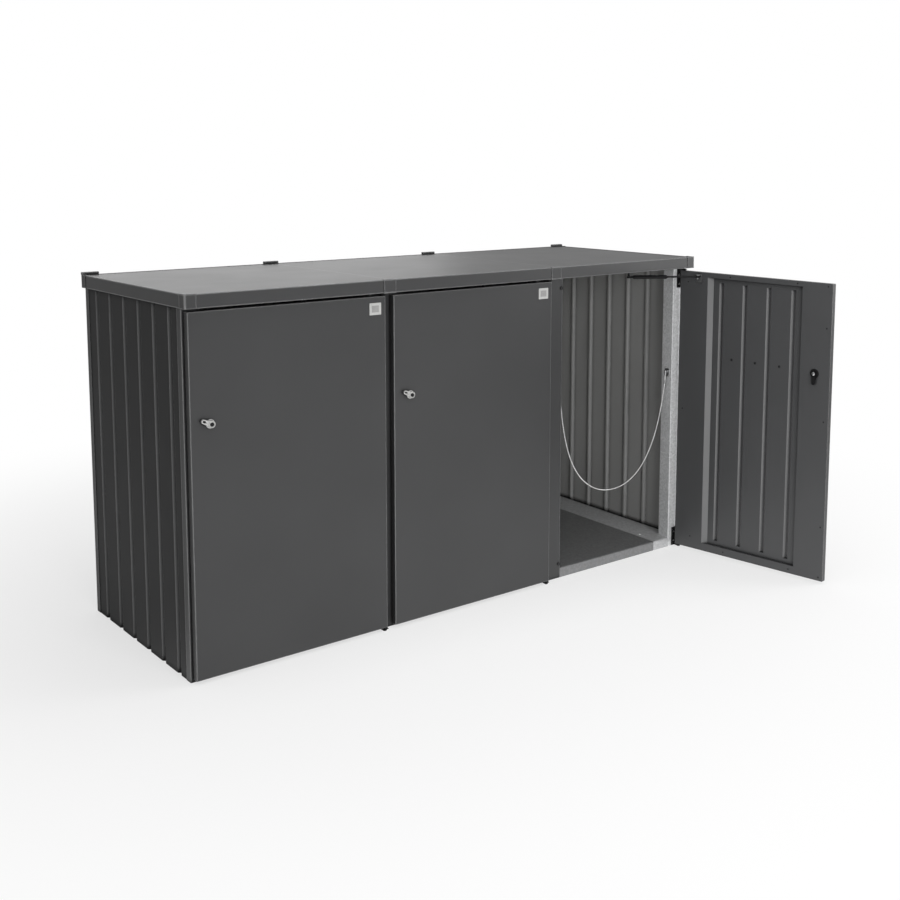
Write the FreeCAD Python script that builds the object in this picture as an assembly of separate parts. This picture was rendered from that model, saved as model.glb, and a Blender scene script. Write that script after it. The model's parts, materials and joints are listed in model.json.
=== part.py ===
"""Three-bay wheelie bin store of folded sheet steel.

Three bays stand side by side between ribbed walls, under one shallow roof that falls to the back.
Each bay has an overlay door on pivot pins at its right edge, a turn lock at its left edge and a gas
strut under the lintel. Doors 1 and 2 are closed and door 3 stands open. A wire hangs across bay 3.

Millimetres. The origin is the middle of the footprint, on the ground. +X runs to the right along
the front, +Y to the back and +Z up.
"""
import FreeCAD
import Part

import math
import os

V = FreeCAD.Vector

# Driving sizes of the whole store
ROOF_WIDTH = 2270.0
ROOF_DEPTH = 880.0
ROOF_HEIGHT = 1275.0
ROOF_FALL = 15.0
SIDE_OVERHANG = 10.0
FRONT_OVERHANG = 22.0
REAR_OVERHANG = 10.0
BAYS = 3

# Sheet thicknesses
SHEET = 1.0
FRAME_SHEET = 1.5
COVER_SHEET = 1.5
HINGE_SHEET = 2.5
HOLE_FIT = 0.1
CLEARANCE = 0.3
FOLD_ROUNDING = 1.0

# Roof
FASCIA_HEIGHT = 48.0
FASCIA_TOP_FLANGE = 12.0
FASCIA_BOTTOM_FLANGE = 7.0
ROOF_LIP = 20.0
CORNER_CAP = 40.0
CORNER_RADIUS = 4.0
CAP_LIP = 10.0
LIP_SLOT = 5.0
JOINT_COVER = 50.0
JOINT_COVER_SHIFT = -11.0
REAR_TAB_WIDTH = 60.0
REAR_TAB_DEPTH = 14.0
REAR_TAB_HEIGHT = 8.0

# Ribbed walls
GROOVE_WIDTH = 28.0
GROOVE_FLOOR = 8.0
GROOVE_DEPTH = 9.0
GROOVE_PITCH = 124.0
GROOVE_FROM_REAR = 108.0
GROOVE_FROM_FRONT = 90.0
WALL_GROOVES = 6
WALL_FLANGE = 25.0
CORNER_FLANGE = 31.0
REAR_FLANGE = 45.0
REAR_STRIP = 60.0

# Front frame
END_POST = 60.0
CENTRE_POST = 130.0
POST_DEPTH = 60.0
POST_RETURN = 15.0
LINTEL_ABOVE_FASCIA = -8.0
LINTEL_DEPTH = 50.0

# Floor
FLOOR_HEIGHT = 40.0
FLOOR_STRIP = 90.0
SEAM_GAP = 1.0
BEARER_WIDTH = 50.0
BEARER_FLANGE = 20.0
BEARER_FRONT_INSET = 60.0
BEARER_REAR_INSET = 30.0
FLOOR_ROUNDING = 4.0
ANCHOR_FROM_SIDE = 125.0
ANCHOR_FROM_EDGE = 160.0
ANCHOR_HOLE = 11.0

# Doors
DOOR_GAP = 34.0
DOOR_SIDE_INSET = 8.0
DOOR_BOTTOM = 12.0
DOOR_TOP_GAP = 12.0
DOOR_THICKNESS = 25.0
DOOR_STOP_GAP = 5.0
OPEN_ANGLE = 99.0
REST_ANGLES = (0.0, 0.0, OPEN_ANGLE)
HINGE_STILE = 139.0
LATCH_STILE = 133.0
BOTTOM_RAIL = 33.0
TOP_RAIL = 20.0
PAN_DEPTH = 13.0
PAN_HINGE_SLOPE = 22.0
PAN_LATCH_SLOPE = 6.0
LINER_GROOVES = 4
LINER_GROOVE_PITCH = 114.0
LINER_GROOVE_WIDTH = 22.0
LINER_GROOVE_FLOOR = 8.0
LINER_GROOVE_DEPTH = 8.0
LINER_GROOVE_INSET = 20.0
LINER_HOLE_RADIUS = 3.5
LINER_HOLE_HEIGHT = 858.0
LABEL_WIDTH = 47.0
LABEL_HEIGHT = 42.0
LABEL_FROM_EDGE = 18.0
LABEL_FROM_TOP = 22.0
LABEL_THICKNESS = 1.0
LABEL_CORNER = 2.0

# Pivot hinges
PIN_FROM_EDGE = 8.0
PIN_FROM_FACE = 8.0
PIN_RADIUS = 4.0
PIN_HEAD_RADIUS = 6.0
PIN_HEAD = 2.0
PIN_ENGAGEMENT = 15.0
RUNNING_FIT = 0.08
BUSH_RADIUS = 6.8
BUSH_HEIGHT = 14.0
BRACKET_HEIGHT = 80.0
BRACKET_REACH = 32.0
BRACKET_WEB = 14.0
EAR_GAP = 2.5

# Turn lock
LOCK_FROM_EDGE = 67.0
LOCK_HEIGHT = 853.0
LOCK_BARREL_RADIUS = 10.0
ROSETTE_RADIUS = 15.0
ROSETTE_THICKNESS = 3.0
LOCK_NUT_RADIUS = 19.0
LOCK_NUT_THICKNESS = 2.0
SPINDLE_RADIUS = 6.0
KNOB_RADIUS = 12.0
KNOB_HEIGHT = 12.0
WING_LENGTH = 38.0
WING_WIDTH = 14.0
WING_EYE_RADIUS = 3.2
WING_THICKNESS = 8.0
WING_TILT = 24.0
KEYHOLE_WIDTH = 1.6
KEYHOLE_LENGTH = 9.0
KEYHOLE_DEPTH = 2.0
CAM_LENGTH = 45.0
CAM_WIDTH = 16.0
CAM_THICKNESS = 3.0
CAM_GAP = 2.0
CAM_SLOT_ABOVE = 14.0
CAM_SLOT_BELOW = 58.0
CAM_SLOT_DEPTH = 10.0

# Rubber buffers
BUFFER_RADIUS = 7.0
BUFFER_THICKNESS = 4.5
BUFFER_FROM_EDGE = 41.0
LOWER_BUFFER_HEIGHT = 58.0
UPPER_BUFFER_FROM_TOP = 33.0

# Gas struts, in plan measured from the door's pivot pin with the door closed
STRUT_BELOW_LINTEL = 22.0
STUD_ALONG_DOOR = 88.0
STUD_BEHIND_PIN = 29.0
ANCHOR_ALONG_DOOR = 273.0
ANCHOR_BEHIND_PIN = 59.0
TUBE_RADIUS = 8.0
STRUT_BODY_LENGTH = 165.0
STRUT_EYE_RADIUS = 8.0
STRUT_EYE_HEIGHT = 8.0
TUBE_START = 18.0
TUBE_END_WALL = 10.0
TUBE_NOSE = 3.0
ROD_RADIUS = 4.0
ROD_LENGTH = 157.0
ROD_EYE_RADIUS = 7.0
ROD_EYE_HEIGHT = 7.0
STUD_RADIUS = 3.0
STUD_ARM = 3.0
STUD_ARM_GAP = 1.5
STUD_TAIL = 2.5
STUD_PLATE_WIDTH = 26.0
STUD_PLATE_HEIGHT = 34.0
STUD_ARM_WIDTH = 16.0
STRUT_PLATE = 34.0
STRUT_PLATE_THICKNESS = 3.0
STRUT_POST_RADIUS = 5.0
OPEN_PIVOT_GAP = 0.4

# Wire across bay 3
WIRE_DIAMETER = 4.0
WIRE_BEHIND_FRAME = 25.0
WIRE_ANCHOR_HEIGHT = 762.0
WIRE_ANCHOR_REACH = 12.0
FERRULE_RADIUS = 5.0
FERRULE_HEIGHT = 18.0
WIRE_PLATE_WIDTH = 24.0
WIRE_PLATE_HEIGHT = 34.0
WIRE_PLATE_THICKNESS = 2.0
WIRE_LUG = 8.0

# The wire's route from the left anchor to the right one, as X, Y and Z offsets from the middle of
# the two anchors at their height
WIRE_POINTS = (
    (-299.0, 0.0, 0.0),
    (-295.0, 0.0, -44.0),
    (-288.0, 1.0, -96.0),
    (-278.0, 2.0, -149.0),
    (-266.0, 3.0, -201.0),
    (-250.0, 4.0, -252.0),
    (-229.0, 5.0, -302.0),
    (-202.0, 5.0, -348.0),
    (-168.0, 5.0, -388.0),
    (-126.0, 4.0, -421.0),
    (-77.0, 3.0, -444.0),
    (-25.0, 3.0, -455.0),
    (28.0, 3.0, -455.0),
    (80.0, 4.0, -443.0),
    (128.0, 5.0, -419.0),
    (169.0, 6.0, -385.0),
    (202.0, 6.0, -344.0),
    (228.0, 5.0, -297.0),
    (249.0, 4.0, -247.0),
    (265.0, 3.0, -196.0),
    (277.0, 2.0, -145.0),
    (287.0, 1.0, -93.0),
    (295.0, 0.0, -42.0),
    (299.0, 0.0, 0.0),
)

# Planes worked out from the driving sizes
WALL_OUT = ROOF_WIDTH / 2 - SIDE_OVERHANG
DOOR_FACE = -ROOF_DEPTH / 2 + FRONT_OVERHANG
DOOR_BACK = DOOR_FACE + DOOR_THICKNESS
FRAME_FRONT = DOOR_BACK + DOOR_STOP_GAP
FRAME_BACK = FRAME_FRONT + FRAME_SHEET
REAR_OUT = ROOF_DEPTH / 2 - REAR_OVERHANG
PANEL_OUT = WALL_OUT - FRAME_SHEET
REAR_PANEL_OUT = REAR_OUT - FRAME_SHEET
POST_BACK = FRAME_FRONT + POST_DEPTH
DOOR_WIDTH = (2 * WALL_OUT - 2 * DOOR_SIDE_INSET - (BAYS - 1) * DOOR_GAP) / BAYS
DOOR_PITCH = DOOR_WIDTH + DOOR_GAP
DOOR_TOP = ROOF_HEIGHT - FASCIA_HEIGHT - DOOR_TOP_GAP
LINTEL_BOTTOM = ROOF_HEIGHT - FASCIA_HEIGHT + LINTEL_ABOVE_FASCIA
STRUT_HEIGHT = LINTEL_BOTTOM - STRUT_BELOW_LINTEL
BUFFER_HEIGHTS = (LOWER_BUFFER_HEIGHT, DOOR_TOP - UPPER_BUFFER_FROM_TOP)
ROOF_SLOPE = math.degrees(math.atan(ROOF_FALL / ROOF_DEPTH))
ROOF_SKIN_TOP = -COVER_SHEET - SHEET
WALL_INSIDE = PANEL_OUT - GROOVE_DEPTH - SHEET
REAR_INSIDE = REAR_PANEL_OUT - GROOVE_DEPTH - SHEET


def box(x_range, y_range, z_range):
    """Box between pairs of limits."""
    low = V(x_range[0], y_range[0], z_range[0])
    return Part.makeBox(x_range[1] - x_range[0], y_range[1] - y_range[0], z_range[1] - z_range[0], low)


def cylinder(radius, start, end):
    """Cylinder from one point to another."""
    return Part.makeCylinder(radius, (end - start).Length, start, end - start)


def bend(before, corner, after, cut):
    """Start, middle and end of the arc that rounds a corner from a distance on either side."""
    into = (corner - before).normalize()
    out = (after - corner).normalize()
    half = into.getAngle(out) / 2
    sag = cut * (1 - math.cos(half)) / math.sin(half)
    return corner - into * cut, corner + (out - into).normalize() * sag, corner + out * cut


def outline(corners, radii):
    """Closed wire through corners, rounded where a radius is given."""
    edges = []
    start = end = None
    for index, (corner, radius) in enumerate(zip(corners, radii)):
        arc = (corner, corner, corner)
        if radius:
            before = corners[index - 1]
            after = corners[(index + 1) % len(corners)]
            turn = (corner - before).getAngle(after - corner)
            arc = bend(before, corner, after, radius * math.tan(turn / 2))
        if end:
            edges.append(Part.LineSegment(end, arc[0]).toShape())
        if radius:
            edges.append(Part.Arc(*arc).toShape())
        start = start or arc[0]
        end = arc[2]
    edges.append(Part.LineSegment(end, start).toShape())
    return Part.Wire(edges)


def prism(points, axis, start, end):
    """Solid of a closed outline drawn across one axis and carried from start to end along it.

    A point is its two places across the axis, with a radius after them where the corner is round.
    """
    place = {
        "x": lambda a, b: V(start, a, b),
        "y": lambda a, b: V(a, start, b),
        "z": lambda a, b: V(a, b, start),
    }[axis]
    path = {"x": V(end - start, 0, 0), "y": V(0, end - start, 0), "z": V(0, 0, end - start)}[axis]
    corners = [place(point[0], point[1]) for point in points]
    radii = [point[2] if len(point) > 2 else 0.0 for point in points]
    return Part.Face(outline(corners, radii)).extrude(path)


def folded(line, thickness, rounded=False):
    """Closed outline of a sheet that follows a line of folds and lies to the line's left.

    A rounded sheet has its folds rounded on the outside, and stays sharp inside, where others nest.
    """
    normals = []
    for (x0, y0), (x1, y1) in zip(line, line[1:]):
        length = math.hypot(x1 - x0, y1 - y0)
        normals.append(((y0 - y1) / length, (x1 - x0) / length))
    near = []
    far = []
    for index, (x, y) in enumerate(line):
        nx0, ny0 = normals[max(index - 1, 0)]
        nx1, ny1 = normals[min(index, len(normals) - 1)]
        scale = thickness / (1 + nx0 * nx1 + ny0 * ny1)
        turn = nx0 * ny1 - ny0 * nx1
        radius = abs(thickness) + FOLD_ROUNDING if rounded and abs(turn) > 1e-6 else 0.0
        near.append((x, y, radius if turn * thickness > 0 else 0.0))
        across = (x + (nx0 + nx1) * scale, y + (ny0 + ny1) * scale)
        far.append((*across, radius if turn * thickness < 0 else 0.0))
    return near + far[::-1]


def grooves(centres, width, floor, depth):
    """Offsets along and into a sheet of the corners of its pressed grooves, in order."""
    corners = []
    for centre in centres:
        corners += [
            (centre - width / 2, 0.0),
            (centre - floor / 2, depth),
            (centre + floor / 2, depth),
            (centre + width / 2, 0.0),
        ]
    return corners


def mirrored(shape):
    """The same shape on the other side of the store's middle plane."""
    return shape.mirror(V(0, 0, 0), V(1, 0, 0))


def fused(*shapes):
    """One solid of shapes that touch or overlap."""
    return shapes[0].fuse(list(shapes[1:])).removeSplitter()


def group(shapes):
    """Separate solids that share one node."""
    solids = []
    for shape in shapes:
        solids += shape.Solids
    return Part.makeCompound(solids)


def roof_height_at(y):
    """Height of the top of the roof's covers over a place."""
    return ROOF_HEIGHT - (y + ROOF_DEPTH / 2) * ROOF_FALL / ROOF_DEPTH


def below_roof(shape, lips=False):
    """What is left of a wall or post below the roof sheets, or below their inner lips."""
    front = -ROOF_DEPTH / 2
    back = ROOF_DEPTH / 2
    drop = ROOF_LIP - ROOF_SKIN_TOP if lips else SHEET - ROOF_SKIN_TOP
    room = [
        (front, -1.0),
        (back, -1.0),
        (back, roof_height_at(back) - drop),
        (front, roof_height_at(front) - drop),
    ]
    return shape.common(prism(room, "x", -ROOF_WIDTH, ROOF_WIDTH)).cut(lip_slots())


def lip_slots():
    """Room for the lips where two roof sheets meet."""
    slots = []
    for line_number in range(1, BAYS):
        middle = bay_line(line_number)
        x_range = (middle - LIP_SLOT / 2, middle + LIP_SLOT / 2)
        z_range = (ROOF_SKIN_TOP - ROOF_LIP, ROOF_LIP)
        slots.append(on_roof(box(x_range, (-ROOF_DEPTH / 2, ROOF_DEPTH), z_range)))
    return slots


def on_roof(shape):
    """Tilts a piece drawn level, with the covers' top at height 0, on to the roof's slope."""
    tilted = shape.copy()
    tilted.translate(V(0, 0, ROOF_HEIGHT))
    tilted.rotate(V(0, -ROOF_DEPTH / 2, ROOF_HEIGHT), V(1, 0, 0), -ROOF_SLOPE)
    return tilted


def post_edges(line):
    """Left and right edge of the front post on a bay line, 0 at the left end of the store."""
    if line == 0:
        return -WALL_OUT, -WALL_OUT + END_POST
    if line == BAYS:
        return WALL_OUT - END_POST, WALL_OUT
    middle = bay_line(line)
    return middle - CENTRE_POST / 2, middle + CENTRE_POST / 2


def bay_line(line):
    """Middle of the gap between two doors, which is the line between two bays."""
    return -WALL_OUT + DOOR_SIDE_INSET - DOOR_GAP / 2 + line * DOOR_PITCH


def door_left(bay):
    """Left edge of a bay's closed door."""
    return -WALL_OUT + DOOR_SIDE_INSET + bay * DOOR_PITCH


def door_right(bay):
    """Right, hinged edge of a bay's closed door."""
    return door_left(bay) + DOOR_WIDTH


def pivot(bay):
    """Axis of a door's pivot pins, at ground height."""
    return V(door_right(bay) - PIN_FROM_EDGE, DOOR_FACE + PIN_FROM_FACE, 0)


def swung(shape, bay):
    """Turns a piece drawn on the closed door to where the door rests."""
    turned = shape.copy()
    turned.rotate(pivot(bay), V(0, 0, 1), REST_ANGLES[bay])
    return turned


# Walls


def wall_groove_offsets():
    """Distances of the side wall's grooves from the store's rear face, spread evenly over its depth."""
    last = REAR_OUT - FRAME_FRONT - GROOVE_FROM_FRONT
    pitch = (last - GROOVE_FROM_REAR) / (WALL_GROOVES - 1)
    return [GROOVE_FROM_REAR + index * pitch for index in range(WALL_GROOVES)]


def side_wall():
    """Left wall: one ribbed sheet with a flange folded in at the front and at the back."""
    corners = grooves(wall_groove_offsets(), GROOVE_WIDTH, GROOVE_FLOOR, GROOVE_DEPTH)
    back = REAR_PANEL_OUT - SHEET
    line = [(-PANEL_OUT + WALL_FLANGE, back), (-PANEL_OUT, back)]
    line += [(-PANEL_OUT + depth, REAR_OUT - along) for along, depth in corners]
    line += [(-PANEL_OUT, FRAME_BACK), (-PANEL_OUT + WALL_FLANGE, FRAME_BACK)]
    return below_roof(prism(folded(line, SHEET), "z", 0, ROOF_HEIGHT))


def divider_wall(line_number):
    """Ribbed sheet between two bays, with a flange behind the centre post."""
    left = bay_line(line_number) - SHEET / 2
    corners = grooves(wall_groove_offsets(), GROOVE_WIDTH, GROOVE_FLOOR, GROOVE_DEPTH)
    line = [(left, REAR_PANEL_OUT)]
    line += [(left + depth, REAR_OUT - along) for along, depth in corners]
    line += [(left, FRAME_BACK), (left + WALL_FLANGE, FRAME_BACK)]
    return below_roof(prism(folded(line, SHEET), "z", 0, ROOF_HEIGHT), lips=True)


def rear_wall(bay):
    """Ribbed sheet that closes the back of one bay, between the dividers or corners beside it."""
    left = -PANEL_OUT if bay == 0 else bay_line(bay) + SHEET / 2
    right = PANEL_OUT if bay == BAYS - 1 else bay_line(bay + 1) - SHEET / 2
    middle = (bay_line(bay) + bay_line(bay + 1)) / 2
    first = middle - GROOVE_PITCH * (WALL_GROOVES - 1) / 2
    centres = [first + index * GROOVE_PITCH for index in range(WALL_GROOVES)]
    corners = grooves(centres[::-1], -GROOVE_WIDTH, -GROOVE_FLOOR, GROOVE_DEPTH)
    line = [(right, REAR_PANEL_OUT)]
    line += [(along, REAR_PANEL_OUT - depth) for along, depth in corners]
    line += [(left, REAR_PANEL_OUT)]
    return below_roof(prism(folded(line, SHEET), "z", 0, ROOF_HEIGHT))


# Frame


def cam_slot(right_edge):
    """Room for a lock's cam in the return of the post beside it."""
    return box(
        (right_edge - 2 * FRAME_SHEET, right_edge + FRAME_SHEET),
        (FRAME_BACK, FRAME_BACK + CAM_SLOT_DEPTH),
        (LOCK_HEIGHT - CAM_SLOT_BELOW, LOCK_HEIGHT + CAM_SLOT_ABOVE),
    )


def left_front_post():
    """Corner post: a flange along the wall, the front face and a return with the cam's slot."""
    left, right = post_edges(0)
    line = [
        (left, FRAME_FRONT + CORNER_FLANGE),
        (left, FRAME_FRONT),
        (right, FRAME_FRONT),
        (right, POST_BACK),
        (right - POST_RETURN, POST_BACK),
    ]
    return below_roof(prism(folded(line, FRAME_SHEET, True), "z", 0, ROOF_HEIGHT)).cut(cam_slot(right))


def right_front_post():
    """Corner post on the hinge side of the last door, with no slot."""
    left, right = post_edges(BAYS)
    line = [
        (left + POST_RETURN, POST_BACK),
        (left, POST_BACK),
        (left, FRAME_FRONT),
        (right, FRAME_FRONT),
        (right, FRAME_FRONT + CORNER_FLANGE),
    ]
    return below_roof(prism(folded(line, FRAME_SHEET, True), "z", 0, ROOF_HEIGHT))


def centre_post(line_number):
    """Channel behind the gap between two doors, with the cam's slot on its right."""
    left, right = post_edges(line_number)
    line = [
        (left + POST_RETURN, POST_BACK),
        (left, POST_BACK),
        (left, FRAME_FRONT),
        (right, FRAME_FRONT),
        (right, POST_BACK),
        (right - POST_RETURN, POST_BACK),
    ]
    return below_roof(prism(folded(line, FRAME_SHEET, True), "z", 0, ROOF_HEIGHT)).cut(cam_slot(right))


def rear_corner_posts():
    """Angles that close the two rear corners from outside."""
    line = [
        (-WALL_OUT + REAR_FLANGE, REAR_OUT),
        (-WALL_OUT, REAR_OUT),
        (-WALL_OUT, REAR_OUT - CORNER_FLANGE),
    ]
    left = below_roof(prism(folded(line, FRAME_SHEET, True), "z", 0, ROOF_HEIGHT))
    return group([left, mirrored(left)])


def rear_joint_strips():
    """Flat strips over the joints of the rear walls."""
    strips = []
    for line_number in range(1, BAYS):
        middle = bay_line(line_number)
        x_range = (middle - REAR_STRIP / 2, middle + REAR_STRIP / 2)
        strips.append(below_roof(box(x_range, (REAR_PANEL_OUT, REAR_OUT), (0, ROOF_HEIGHT))))
    return group(strips)


def lintels():
    """Channels over the three openings, open to the back."""
    back = FRAME_FRONT + LINTEL_DEPTH
    top = roof_height_at(back) + ROOF_SKIN_TOP - SHEET
    line = [(back, top), (FRAME_FRONT, top), (FRAME_FRONT, LINTEL_BOTTOM), (back, LINTEL_BOTTOM)]
    return group([
        prism(folded(line, FRAME_SHEET, True), "x", post_edges(bay)[1], post_edges(bay + 1)[0])
        for bay in range(BAYS)
    ])


# Floor


def floor_limits(bay):
    """Left and right limit of a bay's floor, against the walls' grooves."""
    left = -WALL_INSIDE if bay == 0 else bay_line(bay) + SHEET / 2 + GROOVE_DEPTH
    right = WALL_INSIDE if bay == BAYS - 1 else bay_line(bay + 1) - SHEET / 2
    return left, right


def seam(bay):
    """Joint between a bay's floor plate and the narrow strip on its right."""
    return post_edges(bay + 1)[0] - FLOOR_STRIP


def tray(limits):
    """Raised floor sheet with its edges folded down to the ground and a rounded sill."""
    corners = [V(x, y, 0) for x, y in limits]
    face = Part.Face(Part.makePolygon(corners + corners[:1]))
    hollow = face.makeOffset2D(-FRAME_SHEET, join=2).extrude(V(0, 0, FLOOR_HEIGHT - FRAME_SHEET))
    block = face.extrude(V(0, 0, FLOOR_HEIGHT))
    sill = [
        edge for edge in block.Edges
        if all(v.Y < FRAME_FRONT + 1e-6 and v.Z > FLOOR_HEIGHT - 1e-6 for v in edge.Vertexes)
    ]
    return block.makeFillet(FLOOR_ROUNDING, sill).cut(hollow)


def anchor_holes():
    """Four holes through the floor for ground anchors."""
    far_x = WALL_OUT - ANCHOR_FROM_SIDE
    far_y = ROOF_DEPTH / 2 - ANCHOR_FROM_EDGE
    return [
        cylinder(ANCHOR_HOLE / 2, V(x, y, -1), V(x, y, FLOOR_HEIGHT + 1))
        for x in (-far_x, far_x)
        for y in (-far_y, far_y)
    ]


def floor_plate(bay):
    """Wide floor tray of a bay, notched round the left post, its front fold being the sill."""
    left, _ = floor_limits(bay)
    front_left = post_edges(bay)[1]
    limits = [
        (front_left, FRAME_FRONT),
        (seam(bay), FRAME_FRONT),
        (seam(bay), REAR_INSIDE),
        (left, REAR_INSIDE),
        (left, POST_BACK),
        (front_left, POST_BACK),
    ]
    return tray(limits).cut(anchor_holes())


def floor_strip(bay):
    """Narrow floor tray beside the right post."""
    _, right = floor_limits(bay)
    front_right = post_edges(bay + 1)[0]
    limits = [
        (seam(bay) + SEAM_GAP, FRAME_FRONT),
        (front_right, FRAME_FRONT),
        (front_right, POST_BACK),
        (right, POST_BACK),
        (right, REAR_INSIDE),
        (seam(bay) + SEAM_GAP, REAR_INSIDE),
    ]
    return tray(limits).cut(anchor_holes())


def floor_bearers():
    """Hat sections under the floor plates, which stand on the ground."""
    bearers = []
    top = FLOOR_HEIGHT - FRAME_SHEET
    for bay in range(BAYS):
        middle = (bay_line(bay) + bay_line(bay + 1)) / 2
        inner = middle - BEARER_WIDTH / 2
        outer = middle + BEARER_WIDTH / 2
        line = [
            (inner - BEARER_FLANGE, top - FRAME_SHEET),
            (inner, top - FRAME_SHEET),
            (inner, 0),
            (outer, 0),
            (outer, top - FRAME_SHEET),
            (outer + BEARER_FLANGE, top - FRAME_SHEET),
        ]
        front = FRAME_FRONT + BEARER_FRONT_INSET
        bearers.append(prism(folded(line, FRAME_SHEET), "y", front, REAR_INSIDE - BEARER_REAR_INSET))
    return group(bearers)


# Roof, drawn level with the top of the covers at height 0


def fascia_profile(face):
    """Outline of the edge channel whose outer face lies at a negative place across it."""
    top = -COVER_SHEET
    line = [
        (face + FASCIA_BOTTOM_FLANGE, -FASCIA_HEIGHT),
        (face, -FASCIA_HEIGHT),
        (face, top),
        (face + FASCIA_TOP_FLANGE, top),
    ]
    return folded(line, -SHEET, True)


def mitre(side_x, side_y, keep_front):
    """Wedge that cuts one of two edge channels to 45 degrees at a corner of the roof."""
    x = side_x * (ROOF_WIDTH / 2 - COVER_SHEET)
    y = side_y * (ROOF_DEPTH / 2 - COVER_SHEET)
    reach = 2 * FASCIA_HEIGHT
    inward = (x - side_x * reach, y - side_y * reach)
    other = (x, y - side_y * reach) if keep_front else (x - side_x * reach, y)
    return prism([(x, y), other, inward], "z", -2 * FASCIA_HEIGHT, FASCIA_HEIGHT)


def roof_limits(bay):
    """Left and right end of a bay's length of roof edge."""
    half = ROOF_WIDTH / 2 - COVER_SHEET
    left = -half if bay == 0 else bay_line(bay)
    right = half if bay == BAYS - 1 else bay_line(bay + 1)
    return left, right


def front_fascia(bay):
    """Edge channel along the front of one bay."""
    left, right = roof_limits(bay)
    channel = prism(fascia_profile(-ROOF_DEPTH / 2 + COVER_SHEET), "x", left, right)
    if bay == 0:
        channel = channel.cut(mitre(-1, -1, True))
    if bay == BAYS - 1:
        channel = channel.cut(mitre(1, -1, True))
    return channel


def rear_fascia(bay):
    """Edge channel along the back of one bay."""
    return front_fascia(bay).mirror(V(0, 0, 0), V(0, 1, 0))


def side_fascia():
    """Edge channel along the left side."""
    half = ROOF_DEPTH / 2 - COVER_SHEET
    channel = prism(fascia_profile(-ROOF_WIDTH / 2 + COVER_SHEET), "y", -half, half)
    return channel.cut([mitre(-1, -1, False), mitre(-1, 1, False)])


def roof_panel(bay):
    """Roof sheet of one bay, with its four edges folded down inside the edge channels."""
    inset = COVER_SHEET + SHEET + CLEARANCE
    left, right = roof_limits(bay)
    if bay == 0:
        left += SHEET + CLEARANCE
    if bay == BAYS - 1:
        right -= SHEET + CLEARANCE
    front = -ROOF_DEPTH / 2 + inset
    outer = box((left, right), (front, -front), (ROOF_SKIN_TOP - ROOF_LIP, ROOF_SKIN_TOP))
    hollow = box(
        (left + SHEET, right - SHEET),
        (front + SHEET, -front - SHEET),
        (ROOF_SKIN_TOP - ROOF_LIP - 1, ROOF_SKIN_TOP - SHEET),
    )
    return outer.cut(hollow)


def rear_tab(middle):
    """Raised end of a rear cover, which hooks over the roof's back edge."""
    back = ROOF_DEPTH / 2
    tab = box(
        (middle - REAR_TAB_WIDTH / 2, middle + REAR_TAB_WIDTH / 2),
        (back - REAR_TAB_DEPTH, back),
        (-COVER_SHEET, REAR_TAB_HEIGHT),
    )
    edges = [edge for edge in tab.Edges if min(v.Z for v in edge.Vertexes) > 0]
    return tab.makeFillet(COVER_SHEET, edges)


def corner_cap():
    """Cap round the front left corner of the edge channels, with a narrow lip on the top."""
    x = -ROOF_WIDTH / 2
    y = -ROOF_DEPTH / 2
    outer = box((x, x + CORNER_CAP), (y, y + CORNER_CAP), (-FASCIA_HEIGHT, 0))
    inner = box(
        (x + COVER_SHEET, x + CORNER_CAP + 1),
        (y + COVER_SHEET, y + CORNER_CAP + 1),
        (-FASCIA_HEIGHT - 1, -COVER_SHEET),
    )
    window = box(
        (x + CAP_LIP, x + CORNER_CAP + 1),
        (y + CAP_LIP, y + CORNER_CAP + 1),
        (-FASCIA_HEIGHT - 1, 1),
    )
    corner = [
        edge for edge in outer.Edges
        if all(abs(v.X - x) < 1e-6 and abs(v.Y - y) < 1e-6 for v in edge.Vertexes)
    ]
    return outer.makeFillet(CORNER_RADIUS, corner).cut([inner, window])


def joint_cover(middle):
    """Strip over the joint of two front channels, hooked over the top and under the bottom."""
    face = -ROOF_DEPTH / 2
    line = [
        (face + FASCIA_BOTTOM_FLANGE, -FASCIA_HEIGHT - COVER_SHEET),
        (face, -FASCIA_HEIGHT - COVER_SHEET),
        (face, 0),
        (face + FASCIA_TOP_FLANGE, 0),
    ]
    start = middle + JOINT_COVER_SHIFT - JOINT_COVER / 2
    return prism(folded(line, -COVER_SHEET, True), "x", start, start + JOINT_COVER)


def roof_corner_caps():
    """The four corner caps; the rear ones carry a raised tab."""
    front = corner_cap()
    tab_middle = -ROOF_WIDTH / 2 + REAR_TAB_WIDTH / 2
    rear = fused(front.mirror(V(0, 0, 0), V(0, 1, 0)), rear_tab(tab_middle))
    return group([front, mirrored(front), rear, mirrored(rear)])


def roof_joint_covers():
    """Covers on the front and back joints; the rear ones carry a raised tab."""
    covers = []
    for line_number in range(1, BAYS):
        middle = bay_line(line_number)
        front = joint_cover(middle)
        tab = rear_tab(middle + JOINT_COVER_SHIFT)
        covers += [front, fused(front.mirror(V(0, 0, 0), V(0, 1, 0)), tab)]
    return group(covers)


# Hinges


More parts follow.
